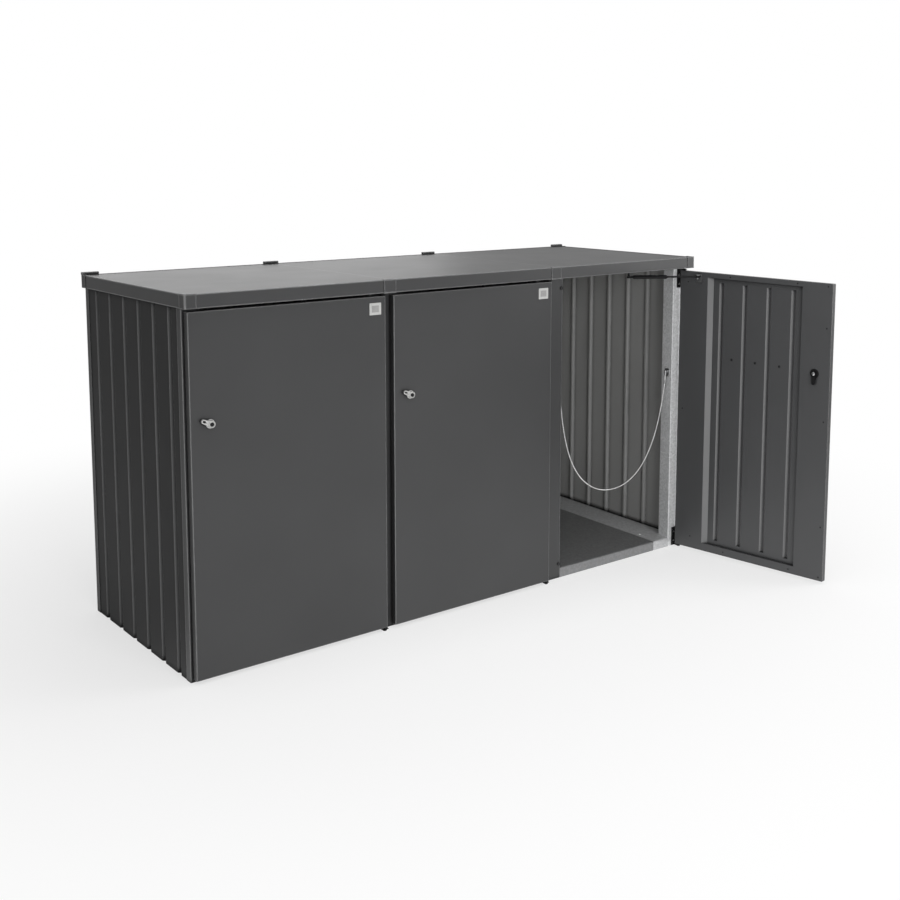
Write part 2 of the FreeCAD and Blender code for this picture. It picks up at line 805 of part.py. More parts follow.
def hinge_bracket(bay, upper):
    """Angle screwed to the post, with an ear that holds the door's pin."""
    edge = door_right(bay)
    outer = edge + DOOR_SIDE_INSET
    plate_front = FRAME_FRONT - HINGE_SHEET
    if upper:
        ear_low = DOOR_TOP + EAR_GAP
        low = ear_low + HINGE_SHEET - BRACKET_HEIGHT
        high = ear_low + HINGE_SHEET
    else:
        ear_low = PIN_HEAD
        low = ear_low
        high = ear_low + BRACKET_HEIGHT
    plate = box((edge - BRACKET_REACH, outer), (plate_front, FRAME_FRONT), (low, high))
    web = box((outer - HINGE_SHEET, outer), (plate_front - BRACKET_WEB, FRAME_FRONT), (low, high))
    axis = pivot(bay)
    ear_z = (ear_low, ear_low + HINGE_SHEET)
    ear_round = cylinder(
        PIN_FROM_FACE, V(axis.x, axis.y, ear_z[0]), V(axis.x, axis.y, ear_z[1])
    )
    ear_left = axis.x - PIN_FROM_FACE
    ear = fused(box((ear_left, outer), (axis.y, FRAME_FRONT), ear_z), ear_round)
    hole = cylinder(
        PIN_RADIUS + HOLE_FIT, V(axis.x, axis.y, ear_z[0] - 1), V(axis.x, axis.y, ear_z[1] + 1)
    )
    return fused(plate, web, ear).cut(hole)


def hinge_pin(bay, upper):
    """Headed pin through the ear into the door's bush."""
    axis = pivot(bay)
    if upper:
        head_from = DOOR_TOP + EAR_GAP + HINGE_SHEET
        head_to = head_from + PIN_HEAD
        tip = DOOR_TOP - PIN_ENGAGEMENT
    else:
        head_from = PIN_HEAD
        head_to = 0.0
        tip = DOOR_BOTTOM + PIN_ENGAGEMENT
    shank = cylinder(PIN_RADIUS, V(axis.x, axis.y, head_from), V(axis.x, axis.y, tip))
    head = cylinder(PIN_HEAD_RADIUS, V(axis.x, axis.y, head_from), V(axis.x, axis.y, head_to))
    return fused(shank, head)


def door_buffer(bay, height):
    """Rubber button on the post that stops the door's free side."""
    x = door_left(bay) + BUFFER_FROM_EDGE
    return cylinder(BUFFER_RADIUS, V(x, FRAME_FRONT, height), V(x, FRAME_FRONT - BUFFER_THICKNESS, height))


# Doors, drawn closed


def pin_holes(bay, radius):
    """Cutters for the pins through the door's top and bottom folds."""
    axis = pivot(bay)
    return [
        cylinder(radius, V(axis.x, axis.y, z - BUSH_HEIGHT - 2), V(axis.x, axis.y, z + BUSH_HEIGHT + 2))
        for z in (DOOR_BOTTOM, DOOR_TOP)
    ]


def lock_hole(bay, radius):
    """Cutter for the lock's barrel through the door."""
    x = door_left(bay) + LOCK_FROM_EDGE
    return cylinder(radius, V(x, DOOR_FACE - 1, LOCK_HEIGHT), V(x, DOOR_BACK + 1, LOCK_HEIGHT))


def rounded_front(block, radius):
    """Rounds the four edges of a box's front face."""
    front = block.BoundBox.YMin
    edges = [edge for edge in block.Edges if all(abs(v.Y - front) < 1e-6 for v in edge.Vertexes)]
    return block.makeFillet(radius, edges)


def door_skin(bay):
    """Smooth outer sheet with its four edges folded back."""
    left = door_left(bay)
    right = door_right(bay)
    outer = rounded_front(
        box((left, right), (DOOR_FACE, DOOR_BACK - SHEET), (DOOR_BOTTOM, DOOR_TOP)), FOLD_ROUNDING + SHEET
    )
    hollow = rounded_front(
        box(
            (left + SHEET, right - SHEET),
            (DOOR_FACE + SHEET, DOOR_BACK),
            (DOOR_BOTTOM + SHEET, DOOR_TOP - SHEET),
        ),
        FOLD_ROUNDING,
    )
    cuts = [hollow, lock_hole(bay, LOCK_BARREL_RADIUS + HOLE_FIT)]
    cuts += [cut.common(outer) for cut in pin_holes(bay, PIN_RADIUS + 2 * HOLE_FIT)]
    return outer.cut(cuts)


def groove_centres(bay):
    """Middles of the liner's grooves, which divide the flat floor of its recess."""
    left = door_left(bay) + LATCH_STILE + PAN_LATCH_SLOPE
    right = door_right(bay) - HINGE_STILE - PAN_HINGE_SLOPE
    first = (left + right) / 2 - LINER_GROOVE_PITCH * (LINER_GROOVES - 1) / 2
    return [first + index * LINER_GROOVE_PITCH for index in range(LINER_GROOVES)]


def liner_holes(bay):
    """Cutters for the round holes between the liner's grooves."""
    front = DOOR_BACK - PAN_DEPTH - 2 * SHEET
    return [
        cylinder(
            LINER_HOLE_RADIUS,
            V(centre + LINER_GROOVE_PITCH / 2, front, LINER_HOLE_HEIGHT),
            V(centre + LINER_GROOVE_PITCH / 2, DOOR_BACK, LINER_HOLE_HEIGHT),
        )
        for centre in groove_centres(bay)[:-1]
    ]


def pan(bay, grow):
    """Room of the liner's recess and grooves, grown by the sheet's thickness for its outside."""
    left = door_left(bay) + LATCH_STILE
    right = door_right(bay) - HINGE_STILE
    low = DOOR_BOTTOM + BOTTOM_RAIL
    high = DOOR_TOP - TOP_RAIL
    floor = DOOR_BACK - PAN_DEPTH
    recess = prism(
        [
            (left - grow, DOOR_BACK),
            (left - grow + PAN_LATCH_SLOPE, floor - grow),
            (right + grow - PAN_HINGE_SLOPE, floor - grow),
            (right + grow, DOOR_BACK),
        ],
        "z", low - grow, high + grow,
    )
    troughs = []
    for centre in groove_centres(bay):
        half_mouth = LINER_GROOVE_WIDTH / 2 + grow
        half_floor = LINER_GROOVE_FLOOR / 2 + grow
        troughs.append(prism(
            [
                (centre - half_mouth, floor),
                (centre - half_floor, floor - LINER_GROOVE_DEPTH - grow),
                (centre + half_floor, floor - LINER_GROOVE_DEPTH - grow),
                (centre + half_mouth, floor),
            ],
            "z", low + LINER_GROOVE_INSET - grow, high - LINER_GROOVE_INSET + grow,
        ))
    return fused(recess, *troughs)


def door_liner(bay):
    """Inner sheet: wide flat stiles and rails round a ribbed recess."""
    left = door_left(bay)
    right = door_right(bay)
    flat = box((left, right), (DOOR_BACK - SHEET, DOOR_BACK), (DOOR_BOTTOM, DOOR_TOP))
    whole = fused(flat, pan(bay, SHEET))
    return whole.cut([pan(bay, 0.0), lock_hole(bay, LOCK_BARREL_RADIUS + HOLE_FIT), *liner_holes(bay)])


def label_plate(bay):
    """Bare plate near the door's top right corner."""
    right = door_right(bay) - LABEL_FROM_EDGE
    top = DOOR_TOP - LABEL_FROM_TOP
    plate = box(
        (right - LABEL_WIDTH, right),
        (DOOR_FACE - LABEL_THICKNESS, DOOR_FACE),
        (top - LABEL_HEIGHT, top),
    )
    corners = [edge for edge in plate.Edges if abs(edge.Length - LABEL_THICKNESS) < 1e-6]
    return plate.makeFillet(LABEL_CORNER, corners)


def door_fittings(bay):
    """Two pivot bushes in the hinge stile and the strut's stud bracket on its inside."""
    axis = pivot(bay)
    pieces = []
    for low in (DOOR_BOTTOM + SHEET, DOOR_TOP - SHEET - BUSH_HEIGHT):
        bush = cylinder(BUSH_RADIUS, V(axis.x, axis.y, low), V(axis.x, axis.y, low + BUSH_HEIGHT))
        bore = cylinder(
            PIN_RADIUS + RUNNING_FIT,
            V(axis.x, axis.y, low - 1),
            V(axis.x, axis.y, low + BUSH_HEIGHT + 1),
        )
        pieces.append(bush.cut(bore))
    stud_x = axis.x - STUD_ALONG_DOOR
    stud_y = axis.y + STUD_BEHIND_PIN
    arm_low = STRUT_HEIGHT + ROD_EYE_HEIGHT / 2 + STUD_ARM_GAP
    arm_high = arm_low + STUD_ARM
    plate = box(
        (stud_x - STUD_PLATE_WIDTH / 2, stud_x + STUD_PLATE_WIDTH / 2),
        (DOOR_BACK, DOOR_BACK + FRAME_SHEET),
        (arm_high - STUD_PLATE_HEIGHT, arm_high),
    )
    half = STUD_ARM_WIDTH / 2
    arm = fused(
        box((stud_x - half, stud_x + half), (DOOR_BACK, stud_y), (arm_low, arm_high)),
        cylinder(half, V(stud_x, stud_y, arm_low), V(stud_x, stud_y, arm_high)),
    )
    stud_low = STRUT_HEIGHT - ROD_EYE_HEIGHT / 2 - STUD_TAIL
    stud = cylinder(STUD_RADIUS, V(stud_x, stud_y, stud_low), V(stud_x, stud_y, arm_high))
    pieces.append(fused(plate, arm, stud))
    return group(pieces)


def lock_body(bay):
    """Rosette, barrel through the door and ring nut on the inside."""
    x = door_left(bay) + LOCK_FROM_EDGE
    front = DOOR_FACE - ROSETTE_THICKNESS
    back = DOOR_BACK + LOCK_NUT_THICKNESS
    rosette = cylinder(ROSETTE_RADIUS, V(x, front, LOCK_HEIGHT), V(x, DOOR_FACE, LOCK_HEIGHT))
    rim = [edge for edge in rosette.Edges if abs(edge.CenterOfMass.y - front) < 1e-6]
    barrel = cylinder(LOCK_BARREL_RADIUS, V(x, front, LOCK_HEIGHT), V(x, back, LOCK_HEIGHT))
    nut = cylinder(LOCK_NUT_RADIUS, V(x, DOOR_BACK, LOCK_HEIGHT), V(x, back, LOCK_HEIGHT))
    bore = cylinder(
        SPINDLE_RADIUS + RUNNING_FIT, V(x, front - 1, LOCK_HEIGHT), V(x, back + 1, LOCK_HEIGHT)
    )
    return fused(rosette.makeFillet(FRAME_SHEET, rim), barrel, nut).cut(bore)


def lock_knob(bay):
    """Knob with a wing that has an eye, spindle and cam, which hangs clear of the post when open."""
    x = door_left(bay) + LOCK_FROM_EDGE
    seat = DOOR_FACE - ROSETTE_THICKNESS - CLEARANCE
    front = seat - KNOB_HEIGHT
    cam_front = FRAME_BACK + CAM_GAP
    cam_back = cam_front + CAM_THICKNESS
    centre = V(x, front, LOCK_HEIGHT)
    head = cylinder(KNOB_RADIUS, centre, V(x, seat, LOCK_HEIGHT))
    rim = [edge for edge in head.Edges if abs(edge.CenterOfMass.y - front) < 1e-6]
    head = head.makeFillet(KEYHOLE_DEPTH, rim)
    wing_y = (front + (KNOB_HEIGHT - WING_THICKNESS) / 2, seat - (KNOB_HEIGHT - WING_THICKNESS) / 2)
    half = WING_WIDTH / 2
    tip = x - WING_LENGTH + half
    wing = fused(
        box((tip, x), wing_y, (LOCK_HEIGHT - half, LOCK_HEIGHT + half)),
        cylinder(half, V(tip, wing_y[0], LOCK_HEIGHT), V(tip, wing_y[1], LOCK_HEIGHT)),
    ).cut(cylinder(WING_EYE_RADIUS, V(tip, front, LOCK_HEIGHT), V(tip, seat, LOCK_HEIGHT)))
    wing.rotate(centre, V(0, 1, 0), WING_TILT)
    keyhole = box(
        (x - KEYHOLE_WIDTH / 2, x + KEYHOLE_WIDTH / 2),
        (front - 1, front + KEYHOLE_DEPTH),
        (LOCK_HEIGHT - KEYHOLE_LENGTH / 2, LOCK_HEIGHT + KEYHOLE_LENGTH / 2),
    )
    spindle = cylinder(SPINDLE_RADIUS, V(x, seat, LOCK_HEIGHT), V(x, cam_back, LOCK_HEIGHT))
    cam_half = CAM_WIDTH / 2
    cam_low = LOCK_HEIGHT - CAM_LENGTH + cam_half
    cam = fused(
        box((x - cam_half, x + cam_half), (cam_front, cam_back), (cam_low, LOCK_HEIGHT)),
        cylinder(cam_half, V(x, cam_front, cam_low), V(x, cam_back, cam_low)),
        cylinder(cam_half, V(x, cam_front, LOCK_HEIGHT), V(x, cam_back, LOCK_HEIGHT)),
    )
    return fused(head, wing, spindle, cam).cut(keyhole)


# Gas struts


def strut_anchor(bay):
    """Axis of the strut's fixed end, under the lintel."""
    axis = pivot(bay)
    return V(axis.x - ANCHOR_ALONG_DOOR, axis.y + ANCHOR_BEHIND_PIN, STRUT_HEIGHT)


def strut_stud(bay, angle):
    """Axis of the strut's end on the door, for a door angle."""
    turn = math.radians(angle)
    x = -STUD_ALONG_DOOR
    y = STUD_BEHIND_PIN
    axis = pivot(bay)
    return V(
        axis.x + x * math.cos(turn) - y * math.sin(turn),
        axis.y + x * math.sin(turn) + y * math.cos(turn),
        STRUT_HEIGHT,
    )


def along_strut(shape, bay):
    """Lays a piece drawn along +X from the anchor on to the strut's line at rest."""
    anchor = strut_anchor(bay)
    reach = strut_stud(bay, REST_ANGLES[bay]) - anchor
    laid = shape.copy()
    laid.rotate(V(0, 0, 0), V(0, 0, 1), math.degrees(math.atan2(reach.y, reach.x)))
    laid.translate(anchor)
    return laid


def strut_cylinder(bay):
    """Gas strut's body: an eye at the anchor and a tube that the rod slides in."""
    eye = cylinder(STRUT_EYE_RADIUS, V(0, 0, -STRUT_EYE_HEIGHT / 2), V(0, 0, STRUT_EYE_HEIGHT / 2))
    neck = cylinder(STRUT_EYE_HEIGHT / 2, V(0, 0, 0), V(TUBE_START + 1, 0, 0))
    tube = cylinder(TUBE_RADIUS, V(TUBE_START, 0, 0), V(STRUT_BODY_LENGTH, 0, 0))
    ends = [edge for edge in tube.Edges if len(edge.Vertexes) == 1]
    tube = tube.makeChamfer(TUBE_NOSE, ends)
    bore = cylinder(
        ROD_RADIUS + RUNNING_FIT, V(TUBE_START + TUBE_END_WALL, 0, 0), V(STRUT_BODY_LENGTH + 1, 0, 0)
    )
    return along_strut(fused(eye, neck, tube).cut(bore), bay)


def strut_rod(bay):
    """Gas strut's rod with the eye that turns on the door's stud."""
    anchor = strut_anchor(bay)
    length = (strut_stud(bay, REST_ANGLES[bay]) - anchor).Length
    rod = cylinder(ROD_RADIUS, V(length - ROD_LENGTH, 0, 0), V(length, 0, 0))
    eye = cylinder(
        ROD_EYE_RADIUS, V(length, 0, -ROD_EYE_HEIGHT / 2), V(length, 0, ROD_EYE_HEIGHT / 2)
    )
    bore = cylinder(
        STUD_RADIUS + RUNNING_FIT, V(length, 0, -ROD_EYE_HEIGHT), V(length, 0, ROD_EYE_HEIGHT)
    )
    return along_strut(fused(rod, eye).cut(bore), bay)


def strut_bracket(bay):
    """Plate under the lintel with the post that the strut's eye turns under."""
    anchor = strut_anchor(bay)
    half = STRUT_PLATE / 2
    low = LINTEL_BOTTOM - STRUT_PLATE_THICKNESS
    back = FRAME_FRONT + LINTEL_DEPTH
    plate = box((anchor.x - half, anchor.x + half), (back - STRUT_PLATE, back), (low, LINTEL_BOTTOM))
    tip = STRUT_HEIGHT + STRUT_EYE_HEIGHT / 2 + OPEN_PIVOT_GAP
    post = cylinder(STRUT_POST_RADIUS, V(anchor.x, anchor.y, tip), V(anchor.x, anchor.y, LINTEL_BOTTOM))
    return fused(plate, post)


# Wire across bay 3


def wire_middle():
    """Middle of the two wire anchors, at the height where the wire leaves them."""
    left = post_edges(BAYS - 1)[1]
    right = post_edges(BAYS)[0]
    return V((left + right) / 2, FRAME_FRONT + WIRE_BEHIND_FRAME, WIRE_ANCHOR_HEIGHT)


def wire_anchor(post_edge, into_bay, end):
    """Plate on a post's return with a lug and a ferrule that holds one end of the wire."""
    low = end.z
    plate = box(
        sorted((post_edge, post_edge + into_bay * WIRE_PLATE_THICKNESS)),
        (end.y - WIRE_PLATE_WIDTH / 2, end.y + WIRE_PLATE_WIDTH / 2),
        (low - WIRE_LUG, low - WIRE_LUG + WIRE_PLATE_HEIGHT),
    )
    lug = box(
        sorted((post_edge, end.x)),
        (end.y - WIRE_LUG / 2, end.y + WIRE_LUG / 2),
        (low + FERRULE_HEIGHT - WIRE_LUG, low + FERRULE_HEIGHT),
    )
    ferrule = cylinder(FERRULE_RADIUS, end, V(end.x, end.y, low + FERRULE_HEIGHT))
    return fused(plate, lug, ferrule)


def wire_anchors():
    """The two anchors of the wire."""
    middle = wire_middle()
    points = [middle + V(*offset) for offset in (WIRE_POINTS[0], WIRE_POINTS[-1])]
    left = wire_anchor(post_edges(BAYS - 1)[1], 1, points[0])
    right = wire_anchor(post_edges(BAYS)[0], -1, points[1])
    return group([left, right])


def tipping_wire():
    """Hanging wire: straight runs joined by arcs as large as the runs allow."""
    middle = wire_middle()
    points = [middle + V(*offset) for offset in WIRE_POINTS]
    edges = []
    start = points[0]
    radii = []
    for before, corner, after in zip(points, points[1:], points[2:]):
        turn = (corner - before).getAngle(after - corner)
        cut = 0.45 * min((corner - before).Length, (after - corner).Length)
        radii.append(cut / math.tan(turn / 2))
        arc = bend(before, corner, after, cut)
        edges.append(Part.LineSegment(start, arc[0]).toShape())
        edges.append(Part.Arc(*arc).toShape())
        start = arc[2]
    edges.append(Part.LineSegment(start, points[-1]).toShape())
    path = Part.Wire(edges)
    length = sum(edge.Length for edge in edges)
    first = (points[1] - points[0]).normalize()
    ring = Part.makeCircle(WIRE_DIAMETER / 2, points[0], first)
    tube = path.makePipeShell([Part.Wire(ring)], True, False)
    section = math.pi * WIRE_DIAMETER ** 2 / 4
    print("wire length %.0f, tightest arc %.0f, volume ratio %.4f"
          % (length, min(radii), tube.Volume / (section * length)))
    return tube


def nodes():
    """Every named piece of the store."""
    left_wall = side_wall()
    left_edge = side_fascia()
    pieces = {
        "left_side_wall": left_wall,
        "right_side_wall": mirrored(left_wall),
        "left_front_post": left_front_post(),
        "right_front_post": right_front_post(),
        "rear_corner_posts": rear_corner_posts(),
        "rear_joint_strips": rear_joint_strips(),
        "lintels": lintels(),
        "floor_strips": group([floor_strip(bay) for bay in range(BAYS)]),
        "floor_bearers": floor_bearers(),
        "rear_fascias": on_roof(group([rear_fascia(bay) for bay in range(BAYS)])),
        "left_fascia": on_roof(left_edge),
        "right_fascia": on_roof(mirrored(left_edge)),
        "roof_corner_caps": on_roof(roof_corner_caps()),
        "roof_joint_covers": on_roof(roof_joint_covers()),
        "hinge_brackets": group([hinge_bracket(bay, up) for bay in range(BAYS) for up in (False, True)]),
        "hinge_pins": group([hinge_pin(bay, up) for bay in range(BAYS) for up in (False, True)]),
        "door_buffers": group([door_buffer(bay, z) for bay in range(BAYS) for z in BUFFER_HEIGHTS]),
        "strut_brackets": group([strut_bracket(bay) for bay in range(BAYS)]),
        "wire_anchors": wire_anchors(),
        "tipping_wire": tipping_wire(),
    }
    for line_number in range(1, BAYS):
        pieces["centre_post_%d" % line_number] = centre_post(line_number)
        pieces["divider_wall_%d" % line_number] = divider_wall(line_number)
    for bay in range(BAYS):
        number = bay + 1
        pieces["rear_wall_%d" % number] = rear_wall(bay)
        pieces["floor_plate_%d" % number] = floor_plate(bay)
        pieces["roof_panel_%d" % number] = on_roof(roof_panel(bay))
        pieces["front_fascia_%d" % number] = on_roof(front_fascia(bay))
        pieces["door_%d_skin" % number] = swung(door_skin(bay), bay)
        pieces["door_%d_liner" % number] = swung(door_liner(bay), bay)
        pieces["door_%d_label_plate" % number] = swung(label_plate(bay), bay)
        pieces["door_%d_fittings" % number] = swung(door_fittings(bay), bay)
        pieces["door_%d_lock_body" % number] = swung(lock_body(bay), bay)
        pieces["door_%d_lock_knob" % number] = swung(lock_knob(bay), bay)
        pieces["strut_%d_cylinder" % number] = strut_cylinder(bay)
        pieces["strut_%d_rod" % number] = strut_rod(bay)
    return pieces


def main():
    os.makedirs("parts", exist_ok=True)
    for name, shape in nodes().items():
        shape.exportStep("parts/%s.step" % name)
        solids = len(shape.Solids)
        valid = "valid" if shape.isValid() else "INVALID"
        print("%-22s %d solids, %s, %.0f mm3" % (name, solids, valid, shape.Volume))


main()
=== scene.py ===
"""Dresses the wheelie bin store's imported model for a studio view."""

import json
import math

import bmesh
import bpy
from mathutils import Matrix, Vector

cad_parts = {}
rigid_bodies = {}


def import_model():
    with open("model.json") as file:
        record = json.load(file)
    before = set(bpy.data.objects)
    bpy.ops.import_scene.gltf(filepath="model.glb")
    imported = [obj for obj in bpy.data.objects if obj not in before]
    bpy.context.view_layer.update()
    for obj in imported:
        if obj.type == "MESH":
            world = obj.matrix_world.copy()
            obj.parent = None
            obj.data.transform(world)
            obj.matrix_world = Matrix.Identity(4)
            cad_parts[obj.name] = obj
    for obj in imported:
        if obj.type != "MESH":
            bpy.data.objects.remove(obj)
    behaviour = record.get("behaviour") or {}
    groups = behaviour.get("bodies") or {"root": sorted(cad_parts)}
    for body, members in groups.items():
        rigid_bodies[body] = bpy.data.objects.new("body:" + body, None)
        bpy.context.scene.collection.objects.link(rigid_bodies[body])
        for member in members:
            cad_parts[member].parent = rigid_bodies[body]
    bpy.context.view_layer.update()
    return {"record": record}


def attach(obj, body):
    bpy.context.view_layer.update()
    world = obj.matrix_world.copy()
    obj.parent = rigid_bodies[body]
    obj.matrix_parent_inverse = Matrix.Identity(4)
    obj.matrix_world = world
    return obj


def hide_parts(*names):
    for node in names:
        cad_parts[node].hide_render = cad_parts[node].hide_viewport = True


# Camera, found from the photograph's perspective
CAMERA_PLACE = (-2.7261, -4.0821, 1.7536)
CAMERA_YAW = -0.71519
CAMERA_PITCH = -0.12657
CAMERA_ROLL = 0.01146
CAMERA_LENS = 49.770
CAMERA_SENSOR = 36.0
CAMERA_SHIFT = (-0.1335, -0.1665)

# Wire: the same points as in the part's source, as offsets from the middle of the two anchors
WIRE_DIAMETER = 0.004
WIRE_POINTS = (
    (-0.299, 0.000, 0.000),
    (-0.295, 0.000, -0.044),
    (-0.288, 0.001, -0.096),
    (-0.278, 0.002, -0.149),
    (-0.266, 0.003, -0.201),
    (-0.250, 0.004, -0.252),
    (-0.229, 0.005, -0.302),
    (-0.202, 0.005, -0.348),
    (-0.168, 0.005, -0.388),
    (-0.126, 0.004, -0.421),
    (-0.077, 0.003, -0.444),
    (-0.025, 0.003, -0.455),
    (0.028, 0.003, -0.455),
    (0.080, 0.004, -0.443),
    (0.128, 0.005, -0.419),
    (0.169, 0.006, -0.385),
    (0.202, 0.006, -0.344),
    (0.228, 0.005, -0.297),
    (0.249, 0.004, -0.247),
    (0.265, 0.003, -0.196),
    (0.277, 0.002, -0.145),
    (0.287, 0.001, -0.093),
    (0.295, 0.000, -0.042),
    (0.299, 0.000, 0.000),
)
WIRE_MIDDLE = (0.754, -0.363, 0.762)

# Strands round the wire's core: how far one runs in a full turn, and radii as shares of the diameter
STRANDS = 6
STRAND_LAY = 0.030
STRAND_SIDES = 6
STRAND_RADIUS = 0.19
STRAND_FROM_MIDDLE = 0.33
CORE_RADIUS = 0.41

# Places and sizes that the detail pieces need, in metres and degrees, mostly as in the part's source
BAYS = (1, 2, 3)
DOOR_LEFT = -1.117
DOOR_PITCH = 0.756
DOOR_WIDTH = 0.722
DOOR_FACE = -0.418
DOOR_BACK = -0.393
DOOR_TOP = 1.215
FRAME_FRONT = -0.388
REAR_OUT = 0.430
WALL_OUT = 1.125
BAY_LINE = -1.134
PIVOT_FROM_EDGE = 0.008
PIVOT_Y = -0.410
REST_ANGLE = {1: 0.0, 2: 0.0, 3: 99.0}
LABEL_FROM_EDGE = 0.0415
LABEL_FROM_TOP = 0.043
LOCK_FROM_EDGE = 0.067
LOCK_HEIGHT = 0.853
WING_TILT = 24.0
WING_REACH = 0.031
EYE_REACH = 0.0275
CAM_FRONT = -0.3845
CAM_THICKNESS = 0.0016
HOLES_FROM_HINGE = (0.258, 0.372, 0.486)
HOLE_HEIGHT = 0.858
RECESS_DEPTH = 0.013
BUFFER_FROM_EDGE = 0.041
BUFFER_HEIGHTS = (0.058, 1.182)
PLATE_THICKNESS = 0.0025
BRACKET_SCREW_FROM_EDGE = 0.019
BRACKET_SCREW_HEIGHTS = (0.022, 0.062, DOOR_TOP - 0.060, DOOR_TOP - 0.020)
REAR_SCREW_FROM_END = 0.020
REAR_SCREW_FROM_JOINT = 0.019
REAR_SCREWS = 6
REAR_SCREW_LOWEST = 0.075
REAR_SCREW_PITCH = 0.217
STRUT_HEIGHT = 1.197
STRUT_ANCHOR = (-0.273, 0.059)
STRUT_STUD = (-0.088, 0.029)
STRUT_BODY_LENGTH = 0.165

# Rivets of a door's inner sheet: distance from the hinge edge, and height
RIVET_SPOTS = (
    (0.702, 1.2035),
    (0.702, 1.038),
    (0.702, 0.663),
    (0.706, 0.234),
    (0.704, 0.026),
    (0.566, 1.205),
    (0.566, 0.028),
    (0.250, 1.205),
    (0.250, 0.028),
    (0.079, 0.063),
    (0.040, 1.170),
    (0.024, 0.620),
)

# Area lights: name, place, target, size and power
LIGHTS = (
    ("key", (-0.9, -5.8, 2.0), (0.2, -1.0, 0.2), (3.2, 2.0), 172.0),
    ("side", (3.4, -2.5, 1.5), (1.0, -0.4, 1.2), (1.6, 1.0), 37.0),
    ("top", (0.2, -1.0, 5.0), (0.2, -1.0, 0.0), (5.0, 3.0), 90.0),
    ("back", (0.95, 5.0, 2.3), (0.0, 0.0, 1.2), (4.9, 2.6), 48.0),
)

# Studio: strengths of the world, and the floor's colour and where it turns white, from the middle out
FILL = 0.34
REFLECTED_WHITE = 0.68
FLOOR_WHITE = 0.92
FADE_START = 1.2
FADE_END = 3.2
FADE_LEAST = 0.6

# Glow on the floor in front of the doors that only reflections see, a painted reflection: middle, radii,
# strength and share
PATCH_MIDDLE = (0.4, -1.5, 0.0)
PATCH_FULL = 1.2
PATCH_END = 2.7
PATCH_STRENGTH = 1.5
PATCH_SHARE = 0.9

# Colours, in linear light
PAINT = (0.040, 0.0404, 0.0412)
BACK_COAT = (0.34, 0.34, 0.334)
# Door liner: a lighter copy of the paint, painted light for the open door's shaded inner face
LIT_LINER_COAT = (0.068, 0.0688, 0.0708)
# Pale colour of the painted highlights along folds and lit slants
FOLD_HIGHLIGHT = (0.36, 0.361, 0.363)
ZINC = (0.50, 0.505, 0.51)
STEEL = (0.50, 0.505, 0.51)
SILVER = (0.52, 0.52, 0.51)
WIRE = (0.85, 0.85, 0.84)
LABEL = (0.46, 0.46, 0.45)
BLACK = (0.008, 0.008, 0.0085)
RUBBER = (0.018, 0.018, 0.019)


# Materials


def new_material(name):
    """Empty node material with a Principled shader."""
    material = bpy.data.materials.new(name)
    material.use_nodes = True
    return material, material.node_tree, material.node_tree.nodes["Principled BSDF"]


def arithmetic(tree, operation, *values):
    """Result of one sum on node outputs."""
    node = tree.nodes.new("ShaderNodeMath")
    node.operation = operation
    for socket, value in zip(node.inputs, values):
        tree.links.new(value, socket)
    return node.outputs["Value"]


def mapped(tree, value, start, end, low=0.0, high=1.0, smooth=False):
    """Maps the range from start to end to the one from low to high, and holds it there."""
    node = tree.nodes.new("ShaderNodeMapRange")
    if smooth:
        node.interpolation_type = "SMOOTHSTEP"
    node.inputs["From Min"].default_value = start
    node.inputs["From Max"].default_value = end
    node.inputs["To Min"].default_value = low
    node.inputs["To Max"].default_value = high
    tree.links.new(value, node.inputs["Value"])
    return node.outputs["Result"]


def components(tree, vector):
    """Outputs X, Y and Z of a vector."""
    node = tree.nodes.new("ShaderNodeSeparateXYZ")
    tree.links.new(vector, node.inputs["Vector"])
    return node.outputs


def noise(tree, scale, detail=3.0):
    """Noise in the object's own metres."""
    coordinates = tree.nodes.new("ShaderNodeTexCoord")
    texture = tree.nodes.new("ShaderNodeTexNoise")
    texture.inputs["Scale"].default_value = scale
    texture.inputs["Detail"].default_value = detail
    tree.links.new(coordinates.outputs["Object"], texture.inputs["Vector"])
    return texture.outputs["Fac"]


def ramp(tree, factor, low, high, start=0.3, end=0.7):
    """Colour ramp between two greys or colours."""
    node = tree.nodes.new("ShaderNodeValToRGB")
    node.color_ramp.elements[0].position = start
    node.color_ramp.elements[0].color = (*low, 1.0)
    node.color_ramp.elements[1].position = end
    node.color_ramp.elements[1].color = (*high, 1.0)
    tree.links.new(factor, node.inputs["Fac"])
    return node.outputs["Color"]


def spread(tree, factor, low, high):
    """Maps what a noise mostly gives to a range of numbers."""
    return mapped(tree, factor, 0.3, 0.7, low, high)


def bump(tree, height, distance, strength=1.0, normal=None):
    """Bump of a height in metres on top of another normal."""
    node = tree.nodes.new("ShaderNodeBump")
    node.inputs["Strength"].default_value = strength
    node.inputs["Distance"].default_value = distance
    tree.links.new(height, node.inputs["Height"])
    if normal is not None:
        tree.links.new(normal, node.inputs["Normal"])
    return node.outputs["Normal"]


def soft_edges(tree, radius):
    """Normal that rounds sharp folds when rendered."""
    node = tree.nodes.new("ShaderNodeBevel")
    node.samples = 4
    node.inputs["Radius"].default_value = radius
    return node.outputs["Normal"]


def fold_highlight_mask(tree, normal):
    """Painted highlight mask: 1 along sharp folds, less on upright slants and 0 on the flats."""
    geometry = tree.nodes.new("ShaderNodeNewGeometry")
    product = tree.nodes.new("ShaderNodeVectorMath")
    product.operation = "DOT_PRODUCT"
    tree.links.new(normal, product.inputs[0])
    tree.links.new(geometry.outputs["Normal"], product.inputs[1])
    turned = mapped(tree, product.outputs["Value"], 0.965, 0.90)
    highlighted = arithmetic(tree, "MULTIPLY", turned, lit_edge_side(tree, normal))
    facing = components(tree, geometry.outputs["True Normal"])
    slant = arithmetic(tree, "ABSOLUTE", arithmetic(tree, "MULTIPLY", facing["X"], facing["Y"]))
    lit_slants = mapped(tree, slant, 0.2, 0.45, high=0.4)
    return arithmetic(tree, "MAXIMUM", highlighted, lit_slants)


